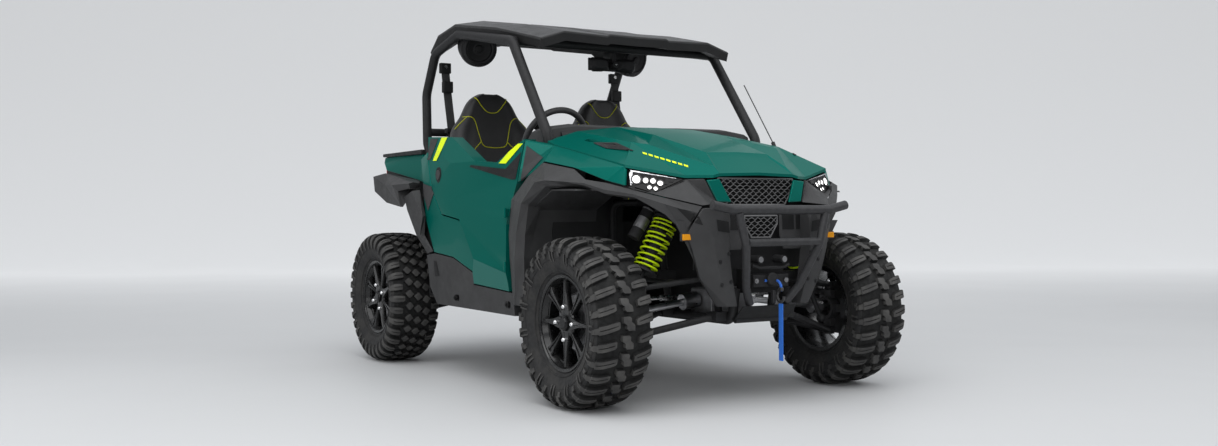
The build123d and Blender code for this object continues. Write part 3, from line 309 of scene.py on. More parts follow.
def finish_piece(obj, mat, body, angle=35, subsurf=0, bevel=0):
    """Material, smoothing and body of a new piece."""
    cover(obj.data, mat, angle)
    if bevel:
        roll_edges(obj, bevel, 20)
    if subsurf:
        modifier = obj.modifiers.new("subsurf", "SUBSURF")
        modifier.levels = modifier.render_levels = subsurf
    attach(obj, body)


def build(name, bm, mat, body="chassis", **options):
    """An object from a bmesh whose numbers are millimetres in the frame."""
    bmesh.ops.scale(bm, vec=(0.001, 0.001, 0.001), verts=bm.verts)
    bmesh.ops.recalc_face_normals(bm, faces=bm.faces)
    obj = link(name, bm)
    finish_piece(obj, mat, body, **options)
    return obj


def mirrored(bm):
    """Both a mesh and its mirror image."""
    copy = bmesh.ops.duplicate(bm, geom=bm.verts[:] + bm.edges[:] + bm.faces[:])["geom"]
    for vert in (g for g in copy if isinstance(g, bmesh.types.BMVert)):
        vert.co.x *= -1
    bmesh.ops.reverse_faces(bm, faces=[g for g in copy if isinstance(g, bmesh.types.BMFace)])
    return bm


def make(name, mat, forms, body="chassis", both=False, stands_for=None, **options):
    """A piece of forms, each a function with what it takes after the mesh; both sides or one."""
    bm = bmesh.new()
    for form, *values in forms:
        form(bm, *values)
    obj = build(name, mirrored(bm) if both else bm, mat, body, **options)
    if stands_for:
        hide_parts(stands_for)
    return obj


def box(bm, low, high):
    """A box between two corners."""
    low, high = Vector(low), Vector(high)
    place = Matrix.Translation((high + low) / 2) @ Matrix.Diagonal((*(high - low), 1))
    bmesh.ops.create_cube(bm, size=1, matrix=place)


def aimed(spot, way):
    """The matrix that carries +Z from the origin to a direction at a point."""
    return Matrix.Translation(spot) @ way.to_track_quat("Z", "Y").to_matrix().to_4x4()


def rod(bm, start, end, radius, sides=20, radius_end=None):
    start, end = Vector(start), Vector(end)
    bmesh.ops.create_cone(bm, cap_ends=True, segments=sides, radius1=radius,
                          radius2=radius_end or radius, depth=(end - start).length,
                          matrix=aimed((start + end) / 2, end - start))


def ball(bm, middle, radius, sides):
    bmesh.ops.create_uvsphere(bm, u_segments=sides, v_segments=sides // 2, radius=radius,
                              matrix=Matrix.Translation(middle))


def loft(bm, rings, caps=True):
    """Quads through rings of as many points each."""
    rows = [[bm.verts.new(p) for p in ring] for ring in rings]
    for row, after in zip(rows, rows[1:]):
        for a, b, c, d in zip(row, row[1:] + row[:1], after[1:] + after[:1], after):
            bm.faces.new((a, b, c, d))
    if caps:
        bm.faces.new(rows[0][::-1])
        bm.faces.new(rows[-1])
    return rows


def slab(bm, axis, low, high, outline):
    """An outline of the other two coordinates, carried along an axis (0 is X, 1 is Y)."""
    loft(bm, [[(*p[:axis], level, *p[axis:]) for p in outline] for level in (low, high)])


def lathe(bm, profile, steps=112):
    """A (radius, height) profile turned about the X axis."""
    rows = [[bm.verts.new((h, r * cos(t), r * sin(t))) for r, h in profile] for t in around(steps)]
    for row, after in zip(rows, rows[1:] + rows[:1]):
        for a, b, c, d in zip(row, row[1:], after[1:], after):
            bm.faces.new((a, b, c, d))
    return rows


def weld(bm):
    bmesh.ops.remove_doubles(bm, verts=bm.verts, dist=0.01)


def move(bm, matrix):
    bmesh.ops.transform(bm, matrix=matrix, verts=bm.verts)


def turn_over(bm, sign):
    """What is made for the right, on the side of a sign."""
    for vert in bm.verts:
        vert.co.x *= sign


def around(steps):
    """Angles at equal steps once round."""
    return [2 * pi * k / steps for k in range(steps)]


def part_way(start, end, share):
    """The point at a share of the way from start to end."""
    return [p + (q - p) * share for p, q in zip(start, end)]


def circle(radius, steps, height=0, place=Matrix()):
    """Points round the Z axis at a height, carried by a matrix."""
    return [place @ Vector((radius * cos(t), radius * sin(t), height)) for t in around(steps)]


def smooth_line(points, divisions=10):
    """Catmull-Rom points through a list of points."""
    points = [Vector(p) for p in points]
    ends = [points[0] * 2 - points[1]] + points + [points[-1] * 2 - points[-2]]
    line = []
    for a, b, c, d in zip(ends, ends[1:], ends[2:], ends[3:]):
        for k in range(divisions):
            t = k / divisions
            line.append(0.5 * ((2 * b) + (c - a) * t + (2 * a - 5 * b + 4 * c - d) * t * t
                               + (3 * b - a - 3 * c + d) * t ** 3))
    line.append(points[-1])
    return line


def headings(points):
    """Each point of a line with the direction of the line there."""
    points = [Vector(p) for p in points]
    for before, spot, after in zip(points[:1] + points, points, points[1:] + points[-1:]):
        yield spot, (after - before).normalized()


def pipe(bm, points, radius, sides=10):
    """A round bar along a line of points."""
    side = None
    rings = []
    for spot, ahead in headings(points):
        side = side or ahead.orthogonal().normalized()
        side = (side - ahead * side.dot(ahead)).normalized()
        other = ahead.cross(side)
        rings.append([spot + (side * cos(a) + other * sin(a)) * radius for a in around(sides)])
    loft(bm, rings)


def bolt(bm, spot, normal, radius, height):
    """A hexagon bolt head on a washer."""
    spot, normal = Vector(spot), Vector(normal).normalized()
    washer = spot + normal * 1.6
    rod(bm, spot, washer, radius * 1.45, 16)
    rod(bm, washer, spot + normal * height, radius, 6, radius * 0.94)


SQUARE = ((-1, -1), (1, -1), (1, 1), (-1, 1))


def ribbon(bm, points, width, thick=2.4, across=(1, 0, 0)):
    """A flat strap along a line, its width along a given direction."""
    across = Vector(across)
    rings = []
    for spot, ahead in headings(points):
        side = (across - ahead * across.dot(ahead)).normalized()
        up = ahead.cross(side)
        rings.append([spot + side * a * width / 2 + up * b * thick / 2 for a, b in SQUARE])
    loft(bm, rings)


def soften(node, mat, width):
    """A rounded copy of a CAD node: its flat facets are merged and their edges rolled."""
    source = NODES[node]
    bm = bmesh.new()
    bm.from_mesh(source.data)
    bmesh.ops.remove_doubles(bm, verts=bm.verts, dist=0.00002)
    bmesh.ops.dissolve_limit(bm, angle_limit=radians(1.2), verts=bm.verts, edges=bm.edges)
    bmesh.ops.recalc_face_normals(bm, faces=bm.faces)
    obj = link(node + "_skin", bm)
    finish_piece(obj, mat, source["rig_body"], angle=60)
    roll_edges(obj, width, 14)
    obj.modifiers.new("normals", "WEIGHTED_NORMAL").keep_sharp = True
    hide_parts(node)


# ----- studio
def make_sweep():
    """A seamless pale sweep, square to the camera, that glows a little behind the vehicle."""
    radius, front, back, top, half = 4.0, -16.0, 12.0, 8.0, 18
    bend = [pi / 2 * k / 16 for k in range(1, 17)]
    outline = [(front, 0), (back, 0)] + [(back + radius * sin(a), radius * (1 - cos(a))) for a in bend]
    outline.append((back + radius, top))
    bm = bmesh.new()
    rows = [[bm.verts.new((s, d, z)) for s in (-half, half)] for d, z in outline]
    for row, after in zip(rows, rows[1:]):
        bm.faces.new((row[0], row[1], after[1], after[0]))
    bmesh.ops.recalc_face_normals(bm, faces=bm.faces)
    sweep = link("sweep", bm)
    sweep.data.shade_smooth()
    material, shader = new_material("sweep_paper", (0.56, 0.565, 0.57), 0.6, Specular_IOR_Level=0.2,
                                    Emission_Color=(0.98, 0.99, 1.0, 1))
    roughen(shader, noise(shader, 0.8), 0.5, 0.62)
    depth = add_node(shader, "SeparateXYZ", "Y", Vector=coordinates(shader))
    drive(shader, "Emission Strength", ramp(shader, depth, 0.0, 0.34, 1.0, 11.0))
    sweep.data.materials.append(material)
    sweep.rotation_euler = (0, 0, -YAW)


def make_lights():
    """A sky that brightens upwards and four soft lamps."""
    world = bpy.data.worlds.new("studio")
    world.use_nodes = True
    background = world.node_tree.nodes["Background"]
    background.inputs["Color"].default_value = (0.93, 0.96, 1.0, 1)
    rise = add_node(background, "SeparateXYZ", "Z", Vector=add_node(background, "TexCoord", "Generated"))
    drive(background, "Strength", ramp(background, rise, 0.2, 0.8, 0.0, 0.8))
    scene.world = world
    for name, place, aim, size, power in (
            ("overhead", (-1.3, -2.2, 4.8), (0, -0.2, 0.5), (6.0, 6.0), 190),
            ("front", (-2.6, -6.0, 1.9), (0, -0.6, 0.4), (5.0, 1.6), 45),
            ("side", (-5.4, 0.6, 2.4), (0, 0, 0.6), (3.4, 1.8), 55),
            ("far", (4.6, -2.6, 3.0), (0, -0.4, 0.6), (2.6, 1.6), 35)):
        data = bpy.data.lights.new(name, "AREA")
        data.shape = "RECTANGLE"
        data.size, data.size_y = size
        data.energy = power
        lamp = bpy.data.objects.new(name, data)
        lamp.location = place
        lamp.rotation_euler = (Vector(aim) - Vector(place)).to_track_quat("-Z", "Y").to_euler()
        scene.collection.objects.link(lamp)
    scene.view_settings.view_transform = "Standard"


make_sweep()
make_lights()


# ----- carried CAD pieces
SKINS = {       # node: material, rolled edge in mm
    "hood": ("paint", 6), "front_cowl": ("paint", 4), "front_fenders": ("trim", 4),
    "front_fascia": ("trim", 4), "door_right": ("paint", 5), "door_left": ("paint", 5),
    "quarter_panels": ("paint", 4), "rockers": ("trim", 5), "rear_flares_lower": ("trim", 4),
    "roof": ("roof", 5), "bed_side_panels": ("paint", 4), "bed_flares": ("trim", 5), "bed_tub": ("black", 5),
    "tailgate": ("paint", 4), "dashboard": ("trim_dark", 8), "centre_console": ("black", 6),
    "skid_plate": ("black", 2), "winch": ("black", 5), "engine": ("iron", 8), "gearboxes": ("alloy", 8),
    "floor_tub": ("black", 4),
}
DRESSED = {     # material: nodes kept as they are
    "coated": ("front_arms", "rear_arms", "shocks", "chassis_frame", "roll_cage", "rear_bumper"),
    "iron": ("rear_knuckles", "knuckle_front_right", "knuckle_front_left", "hub_front_right",
             "hub_front_left", "hub_rear_right", "hub_rear_left"),
    "steel": ("axle_shafts", "muffler"), "zinc": ("tie_rods",), "bumper": ("front_bumper",),
    "red": ("tail_lamps",), "rubber": ("antenna",), "gloss_black": ("headlamps",),
}
CREASES = [     # y, z and way out in mm, where the doors' folds stand a little prouder
    (192, 861, 9), (-426, 748, 9), (192, 1047, 5), (-115, 586, 8), (-432, 530, 8), (56, 772, -6),
]
NOSE = {"behind": -1.2, "below": 0.38, "narrowed": 0.7, "raised": 0.028}     # the skid plate's, in metres


def make_roof_edge():
    """The roof's deep edge: its upper faces carried down and a little inwards."""
    bm = bmesh.new()
    bm.from_mesh(NODES["roof"].data)
    bmesh.ops.delete(bm, geom=[f for f in bm.faces if f.normal.z < 0.2], context="FACES")
    bmesh.ops.remove_doubles(bm, verts=bm.verts, dist=0.0001)
    bmesh.ops.scale(bm, vec=(1000, 1000, 1000), verts=bm.verts)
    bmesh.ops.translate(bm, vec=(0, 0, -4), verts=bm.verts)
    grown = bmesh.ops.extrude_face_region(bm, geom=bm.faces[:])["geom"]
    for vert in (g for g in grown if isinstance(g, bmesh.types.BMVert)):
        vert.co.x *= 0.985
        vert.co.y *= 0.992
        vert.co.z -= 42
    build("roof_edge", bm, "black", angle=30)


def shape_skins():
    """Prouder creases on the doors, and a skid plate whose nose narrows and sweeps up."""
    for side in ("right", "left"):
        for vert in bpy.data.objects[f"door_{side}_skin"].data.vertices:
            for y, z, way in CREASES:
                if abs(vert.co.x) > 0.7 and abs(vert.co.y * 1000 - y) < 5 and abs(vert.co.z * 1000 - z) < 5:
                    vert.co.x += math.copysign(way / 1000, vert.co.x)
    for vert in bpy.data.objects["skid_plate_skin"].data.vertices:
        if vert.co.y < NOSE["behind"]:
            vert.co.x *= NOSE["narrowed"]
            if vert.co.z < NOSE["below"]:
                vert.co.z += NOSE["raised"]


for node, (mat, width) in SKINS.items():
    soften(node, mat, width)
for mat, nodes in DRESSED.items():
    for node in nodes:
        cover(NODES[node].data, mat)
make_roof_edge()
shape_skins()


# ----- wheels
WHEELS = {      # corner: x, y, turn of the spokes in degrees, outward direction
    "front_right": (-681, -1028.5, 0, -1), "front_left": (681, -1028.5, 12, 1),
    "rear_right": (-681, 1028.5, 21, -1), "rear_left": (681, 1028.5, 30, 1),
}
TYRE_RADIUS = 350.0
TREAD_RADIUS = 345      # where the centre blocks' mm round the tyre are measured
SINK = 2.0              # how deep the feet of lugs and blocks stand in the carcass
CARCASS = [             # radius and distance from the middle plane, outer bead to crown
    (188, 92), (199, 94), (206, 103), (222, 112), (238, 119), (256, 125), (272, 128), (288, 129), (300, 127),
    (312, 121), (320, 112), (326, 98), (330, 78), (332, 50), (333, 20),
]


def shoulder_path(s):
    """A point on the carcass a way s in mm from the crown's middle, outward: width, radius and normal."""
    line = [(0, 333)] + [(w, r) for r, w in CARCASS[::-1]]
    left = s
    for (w0, r0), (w1, r1) in zip(line, line[1:]):
        length = math.hypot(w1 - w0, r1 - r0)
        if left <= length or (w1, r1) == line[-1]:
            t = left / length
            return w0 + (w1 - w0) * t, r0 + (r1 - r0) * t, (r0 - r1) / length, (w1 - w0) / length
        left -= length


def on_tyre(s, angle, height, sign):
    """A point over the carcass: arc way s from the crown, angle round the wheel, height, and side."""
    w, r, nw, nr = shoulder_path(abs(s))
    sign *= 1 if s >= 0 else -1
    w, r = w + nw * height, min(r + nr * height, TYRE_RADIUS)
    return Vector((w * sign, r * cos(angle), r * sin(angle)))


def lug(bm, stations, sign, sipe=(0, 0)):
    """A tread lug lofted along stations of (arc way, centre angle, half width in mm, height)."""
    rings = []
    for k, (s, angle, half, height) in enumerate(stations):
        r = shoulder_path(abs(s))[1]
        base, top, slit = (half + 3.0) / r, half / r, 1.7 / r
        deep = height * 0.45 if sipe[0] <= k < sipe[1] else height - 0.02
        flank = [(base, -SINK), (top, height - 1.2), (top * 0.9, height), (slit, height), (slit * 0.8, deep)]
        rings.append([on_tyre(s, angle - a, h, sign) for a, h in flank]
                     + [on_tyre(s, angle + a, h, sign) for a, h in flank[::-1]])
    loft(bm, rings)


def block(bm, outline, height, sign, turn):
    """A tread block from its (arc way, mm round the tyre) outline, with drafted walls."""
    middle = [sum(p[axis] for p in outline) / len(outline) for axis in (0, 1)]

    def ring(grow, rise):
        points = []
        for s, q in outline:
            ds, dq = s - middle[0], q - middle[1]
            length = math.hypot(ds, dq)
            q += dq / length * grow
            points.append(on_tyre(s + ds / length * grow, turn + q / TREAD_RADIUS, rise, sign))
        return points

    rings = [ring(3, -SINK), ring(0.6, height - 1.5), ring(0, height - 0.3), ring(-1, height)]
    last = loft(bm, rings, False)[-1]
    centre = bm.verts.new(on_tyre(middle[0], turn + middle[1] / TREAD_RADIUS, height, sign))
    for a, b in zip(last, last[1:] + last[:1]):
        bm.faces.new((a, b, centre))


def turns(count):
    """For each pitch of a tread: its number, middle, and the turn of the lug on either side."""
    pitch = 2 * pi / count
    return [(i, pitch * (i + 0.25), ((1, pitch * i), (-1, pitch * (i + 0.5)))) for i in range(count)]


def front_tread(bm):
    """Sliced shoulder lugs either side of a line of double centre blocks."""
    double = [(-25, -27), (4, -27), (11, -20), (11, -6), (22, 2), (25, 9)]
    double += [(-s, -q) for s, q in double]
    for i, middle, sides in turns(30):
        start = 50 if i % 2 else 38
        shape = ((start, 11, 15), (start + 7, 15, 16.5), (66, 16, 17), (80, 16.5, 17), (92, 17, 17),
                 (104, 17, 17), (116, 17, 15.5), (119, 13, 11.5), (134, 12.5, 11), (137, 10, 8.5),
                 (150, 9.5, 7))
        for sign, turn in sides:
            lug(bm, [(s, turn + 0.07 * sign * (1 - s / 90), half, rise) for s, half, rise in shape],
                sign, (2, 6))
            if i % 2:
                lug(bm, [(s, turn, 10, rise) for s, rise in ((146, 8), (158, 6.5), (166, 3))], sign)
                continue
            for k in (-1, 1):       # two ribs run on down the sidewall
                lug(bm, [(s, turn + k * (9 + s * 0.02) / 320, 4.2, rise)
                         for s, rise in ((146, 8), (160, 6), (172, 5), (188, 2.5))], sign)
        shift = 2 if i % 2 else -2
        block(bm, [(s + shift, q) for s, q in double], 16.6, 1, middle)


def rear_tread(bm):
    """Short shoulder lugs and three columns of diamond blocks."""
    diamond = [(-23, -3), (-3, -20), (5, -20), (23, 3), (3, 20), (-5, 20)]
    for i, middle, sides in turns(34):
        start = 80 if i % 2 else 72
        shape = ((start, 13, 16), (start + 8, 16, 17), (96, 17, 17), (106, 17.5, 17), (118, 17, 15),
                 (132, 15, 12), (144, 13, 9.5), (154, 11, 6))
        for sign, turn in sides:
            lean = turn + 0.02 * sign
            lug(bm, [(s, lean, half, rise) for s, half, rise in shape], sign, (1, 4))
            lug(bm, [(s, lean, 6, rise) for s, rise in ((150, 7), (162, 5), (176, 3))], sign)
            block(bm, [(s + 46, q) for s, q in diamond], 16.6, sign, turn + pi / 34)
        block(bm, diamond, 16.8, 1, middle)


def carry(bm, corner):
    """Carry what is made about the X axis at the origin, outer face towards +X, to its corner."""
    x, y, turn, out = WHEELS[corner]
    move(bm, Matrix.Rotation(radians(turn), 4, "X"))
    if out < 0:
        move(bm, Matrix.Rotation(pi, 4, "Z"))
    move(bm, Matrix.Translation((x, y, TYRE_RADIUS)))


def make_on_wheel(name, mat, corner, forms, node=None, angle=40):
    """A piece of one wheel, which may stand for a node of that wheel."""
    return make(f"{name}_{corner}", mat, forms + [(carry, corner)], "wheel_" + corner,
                stands_for=node and f"{node}_{corner}", angle=angle)


def darken_walls(tread, axle_y):
    """The walls between the lugs take the groove rubber, painted shade like the grooves."""
    tread.data.materials.append(MATERIALS["groove"][1])
    for face in tread.data.polygons:
        arm = Vector((0, face.center.y - axle_y / 1000, face.center.z - TYRE_RADIUS / 1000)).normalized()
        if abs(face.normal.dot(Vector((1, 0, 0)).cross(arm))) > 0.5:
            face.material_index = 1


def make_tyre(corner):
    """Carcass with a rim guard and two fine rings on each wall, the tread's bed in painted shade, and the
    tread.
    """
    inner = [(r, -w) for r, w in CARCASS[::-1]]
    hollow = [(188, -92), (206, -84), (240, -100), (300, -104), (318, 0), (300, 104), (240, 100), (206, 84)]
    carcass = [(lathe, CARCASS + inner + hollow + CARCASS[:1])]
    for sign in (1, -1):
        for r, w, size in ((214, 109, 4.0), (262, 127.2, 1.8), (296, 128.6, 2.0)):
            carcass.append((lathe, [(r + size * share, sign * (w + rise)) for share, rise in
                                    ((-1, -2), (-0.5, size * 0.6), (0.5, size * 0.6), (1, -2))]))
    make_on_wheel("tyre_carcass", "tyre", corner, carcass + [(weld,)], "tyre")
    # painted shade: a band of the darker groove rubber just over the crown, under the tread
    crown = [(r + 0.6, w) for r, w in CARCASS if r > 310]
    make_on_wheel("tyre_groove", "groove", corner, [(lathe, crown + [(r, -w) for r, w in crown[::-1]])])
    tread = front_tread if corner.startswith("front") else rear_tread
    darken_walls(make_on_wheel("tyre_tread", "lug", corner, [(tread,)], angle=35), WHEELS[corner][1])


BARREL = [(186, -92), (198, -95), (198, -100), (180, -100), (170, -60), (168, 40), (172, 62), (180, 70),
          (184, 96), (190, 100), (197.5, 100), (198, 95), (188, 92), (186, 80), (180, 62), (176, 40),
          (176, -60), (186, -92)]
LIP = [(176, 66), (180, 76), (186, 90), (183, 92), (177, 80), (172, 70), (176, 66)]
HUB = [(0, 48), (44, 48), (56, 50), (62, 56), (60, 74), (54, 81), (44, 83), (0, 83)]
SPOKES = [      # pointed and flared by turns: how deep the flute is, then radius, half width, face and depth
    (1.5, ((36, 27, 85, 26), (66, 22, 86, 26), (96, 14, 86, 24), (130, 10, 87, 24), (160, 8, 89, 24),
           (178, 7, 88, 22))),
    (4.5, ((48, 8, 80, 24), (80, 8, 82, 22), (112, 11, 84, 22), (142, 15, 87, 24), (164, 20, 89, 26),
           (178, 25, 88, 26))),
]


def spoke(bm, i):
    """One of eight fluted spokes."""
    turn = Matrix.Rotation(pi / 4 * i, 3, "X")
    sunk, stations = SPOKES[i % 2]
    rings = []
    for r, half, face, depth in stations:
        flute = 0.42 * half
        flank = [(face - depth, half + 2), (face - 3, half), (face, half - 2), (face, flute),
                 (face - sunk, flute - 1.5)]
        ring = [(x, -w, r) for x, w in flank] + [(x, w, r) for x, w in flank[::-1]]
        rings.append([turn @ Vector(p) for p in ring])
    loft(bm, rings)


def cap_step(bm, half, low, high):
    """A square with cut corners, a little smaller at its face."""
    rings = []
    for x, size in ((low, half + 2), (high - 3, half), (high, half - 4)):
        cut = size * 0.35
        quarter = [(size, cut), (cut, size), (-cut, size), (-size, cut)]
        rings.append([(x, y, z) for y, z in quarter] + [(x, -y, -z) for y, z in quarter])
    loft(bm, rings)


def wheel_nut(bm, i):
    """One of four round nuts."""
    rows = lathe(bm, [(0, 100), (6, 100), (9.5, 96), (10.5, 88), (10.5, 82), (0, 82)], 18)
    turn = Matrix.Rotation(pi / 2 * i, 4, "X") @ Matrix.Translation((0, 0, 67))
    bmesh.ops.transform(bm, matrix=turn, verts=[v for row in rows for v in row])


def make_rim(corner):
    """Barrel, lip, eight fluted spokes, squared centre cap with a raised middle, and nuts of one rim."""
    rim = [(lathe, BARREL, 96), (lathe, LIP, 96), (lathe, HUB, 64), (weld,)]
    make_on_wheel("rim_cast", "rim", corner, rim + [(spoke, i) for i in range(8)], "rim", 32)
    cap = [(cap_step, 30, 80, 95), (cap_step, 24, 95, 99)]
    make_on_wheel("rim_cap", "gloss_black", corner, cap, angle=25)
    make_on_wheel("wheel_nuts", "chrome", corner, [(wheel_nut, i) for i in range(4)] + [(weld,)])


def make_brake(corner):
    """A disc that turns with the wheel, and the caliper on the knuckle."""
    x, y, _, out = WHEELS[corner]
    disc = [(60, 26), (60, 32), (112, 32), (114, 29), (112, 26), (60, 26)]
    make_on_wheel("brake_disc", "steel", corner, [(lathe, disc, 72), (weld,)], angle=30)
    rear = y + 96
    low, high = sorted((x + out * 18, x + out * 44))
    caliper = [(box, (low, rear - 22, 312), (high, rear + 24, 402))]
    caliper += [(rod, (low - 4, rear + 2, z), (high + 4, rear + 2, z), 11, 16) for z in (330, 384)]
    body = "knuckle_" + corner.split("_")[1] if corner.startswith("front") else "chassis"
    make("brake_caliper_" + corner, "alloy", caliper, body, bevel=4)


for corner in WHEELS:
    make_tyre(corner)
    make_rim(corner)
    make_brake(corner)


# ----- projection
def pixel_ray(px, py):
    """The camera's line of sight through a point of the photograph."""
    local = Vector(((px - PHOTO_WIDTH / 2) / FOCAL_PX, (PHOTO_MIDDLE_Y - py + AXIS_DROP_PX) / FOCAL_PX, -1))
    return (scene.camera.matrix_world.to_3x3() @ local).normalized()


def tree_of(*names):
    """A search tree of some CAD nodes."""
    verts, faces = [], []
    for name in names:
        obj = bpy.data.objects.get(name + "_skin", NODES[name])
        start = len(verts)
        verts += [obj.matrix_world @ v.co for v in obj.data.vertices]
        faces += [[start + i for i in f.vertices] for f in obj.data.polygons]
    return BVHTree.FromPolygons(verts, faces)


def sight(tree, px, py):
    """The point in mm that the camera sees through a point of the photograph, and its outward direction."""
    ray = pixel_ray(px, py)
    spot, normal, _, _ = tree.ray_cast(EYE, ray)
    if spot is None:
        return None, None
    return spot * 1000, normal if normal.dot(ray) < 0 else -normal


def seen(tree, px, py, lift):
    """The point seen, lifted off the surface."""
    spot, way = sight(tree, px, py)
    return spot and spot + way * lift


STEP_BACK = 150     # mm; a quad of a patch that reaches farther spans a gap and is left out


def patch(bm, tree, corners, lift, steps):
    """A patch between four points of the photograph, lifted off the surface that the camera sees there."""
    a, b, c, d = corners
    grid = []
    for i in range(steps + 1):
        row = []
        for j in range(steps + 1):
            place = part_way(part_way(a, d, j / steps), part_way(b, c, j / steps), i / steps)
            spot = seen(tree, *place, lift)
            row.append(spot and bm.verts.new(spot))
        grid.append(row)
    for row, after in zip(grid, grid[1:]):
        for face in zip(row, row[1:], after[1:], after):
            if all(face) and (face[0].co - face[2].co).length < STEP_BACK:
                bm.faces.new(face)


# ----- stripes, inserts and latches
SIDE_TREE = tree_of("door_right", "quarter_panels", "front_cowl")
DECALS = [      # name, material, node and corners in the photograph
    ("stripes", "yellow", "door_right", [
        ((442.1, 137.6), (447.7, 137.6), (436.9, 160.8), (433.2, 160.8)),
        ((516, 143.9), (523.3, 143.5), (506.1, 163.6), (499.2, 163.4))]),
    ("door_inserts", "trim", "door_right", [((430.9, 138.8), (438.6, 138.8), (430.5, 160), (427.5, 160))]),
    ("sill_inserts", "black", "door_right", [      # two halves that meet at an elbow
        ((471, 165), (505.8, 168.9), (512, 179.7), (470, 167)),
        ((505.8, 168.9), (521.6, 152), (515.8, 179.3), (512, 179.7))]),
    ("cowl_insert", "trim", "front_cowl", [((526.9, 145.6), (543.3, 157.7), (521.7, 181.1), (521, 180))]),
    ("quarter_insert", "trim", "quarter_panels", [
        ((420.3, 182.3), (431.6, 186.5), (433.7, 194.2), (428.3, 211))]),
]
for name, mat, node, patches in DECALS:
    for tag, sign in SIDES:
        forms = [(patch, SIDE_TREE, corners, 2.6, 24) for corners in patches]
        make(f"{name}_{tag}", mat, forms + [(turn_over, sign)],
             NODES[node.replace("right", tag)]["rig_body"], angle=30)

ROCKER_TREE = tree_of("rockers")
# painted shade: a black patch on each rocker stands for the shade in its recess
RECESS = [(434.0, 260.5), (436.5, 261.5), (439.5, 275.5), (435.5, 276.5)]
make("rocker_recess_shades", "black", [(patch, ROCKER_TREE, RECESS, 2.2, 6)], both=True)
bolts = []
for spot, way in (sight(ROCKER_TREE, *q) for q in ((456.7, 297.5), (506.7, 304.5))):
    if spot:
        bolts += [(rod, spot - way * 2, spot + way * 3, 17, 24, 14), (bolt, spot + way * 3, way, 7, 6)]
make("rocker_bolts", "black", bolts, both=True, bevel=0.8)
LATCH = sight(tree_of("door_right"), 438.8, 175.0)[0]
for tag, sign in SIDES:      # an oval cup in each door, with its paddle
    for name, mat, radius, tall, low, high in (("cup", "black", 36, 1.1, -8, 2.5),
                                               ("paddle", "trim", 20, 1.2, 0, 8)):
        place = (Matrix.Translation(LATCH) @ Matrix.Rotation(-pi / 2, 4, "Y")
                 @ Matrix.Diagonal((tall, 1, 1, 1)))
        rings = [circle(radius + 2, 24, low, place), circle(radius, 24, high, place)]
        make(f"latch_{name}_{tag}", mat, [(loft, rings), (turn_over, sign)], "door_" + tag, bevel=1.5)
FILLER = [(690, 905), (440, 890), (425, 640), (520, 600), (600, 700)]       # y, z above each rear wheel
make("arch_fillers", "trim", [(slab, 0, -690, -684, FILLER)], both=True)
make("bed_rail_caps", "trim_dark", [
    (slab, 0, -622, -590, [(1320, 1128), (1320, 1146), (765, 1146), (765, 1120)])], "bed", both=True, bevel=4)


# ----- seats
SEAT_MIDDLE = 346
SEAT_BACK = [       # height, half width, front at the middle, front at the bolsters, back
    (768, 205, 425, 400, 520), (800, 221, 412, 380, 530), (880, 226, 412, 374, 540),
    (980, 229, 420, 374, 547), (1080, 231, 430, 384, 552), (1165, 231, 440, 402, 556),
    (1222, 228, 449, 426, 556), (1262, 202, 456, 443, 556), (1300, 166, 461, 452, 556),
    (1345, 146, 466, 458, 555), (1385, 124, 471, 464, 553), (1412, 94, 477, 472, 548),
    (1431, 52, 488, 486, 540),
]
SEAT_CUSHION = [    # depth, half width, top at the middle, top at the bolsters, underside
    (66, 196, 722, 728, 668), (80, 214, 742, 752, 652), (120, 224, 752, 768, 648), (220, 226, 746, 772, 646),
    (340, 226, 738, 772, 646), (440, 222, 736, 768, 646), (505, 212, 738, 756, 650),
]
SEAT_PIPING = [     # the half of each seam on one side: distance from the seat's middle, height
    [(-92, 1408), (-70, 1376), (-48, 1350), (-28, 1333), (0, 1328)],
    [(-170, 1302), (-140, 1304), (-120, 1299), (-103, 1278), (-90, 1230), (-76, 1177), (-66, 1158),
     (-48, 1148), (0, 1144)],
    [(-76, 1176), (-100, 1152), (-122, 1130), (-128, 1080), (-120, 960), (-116, 800)],
    [(-146, 1304), (-190, 1264), (-226, 1226)],
]
HALF_SHARES = [1, 0.93, 0.84, 0.74, 0.6, 0.5, 0.4, 0.2]
SHARES = [-u for u in HALF_SHARES] + [0] + HALF_SHARES[::-1]     # places across a seat
DISH, BOLSTER = 0.42, 0.74      # shares where the bolster starts to rise and stands full
ROLL_BACK = 420                 # how fast a bolster's outer side falls away, in mm


def seat_front(u, middle, edge):
    """Depth of the front face across its half width: a dished middle between two bolsters."""
    u = abs(u)
    if u < DISH:
        return middle
    if u < BOLSTER:
        t = (u - DISH) / (BOLSTER - DISH)
        return middle + (edge - middle) * t * t * (3 - 2 * t)
    return edge + (u - BOLSTER) ** 2 * ROLL_BACK * (1.25 if u == 1 else 1)


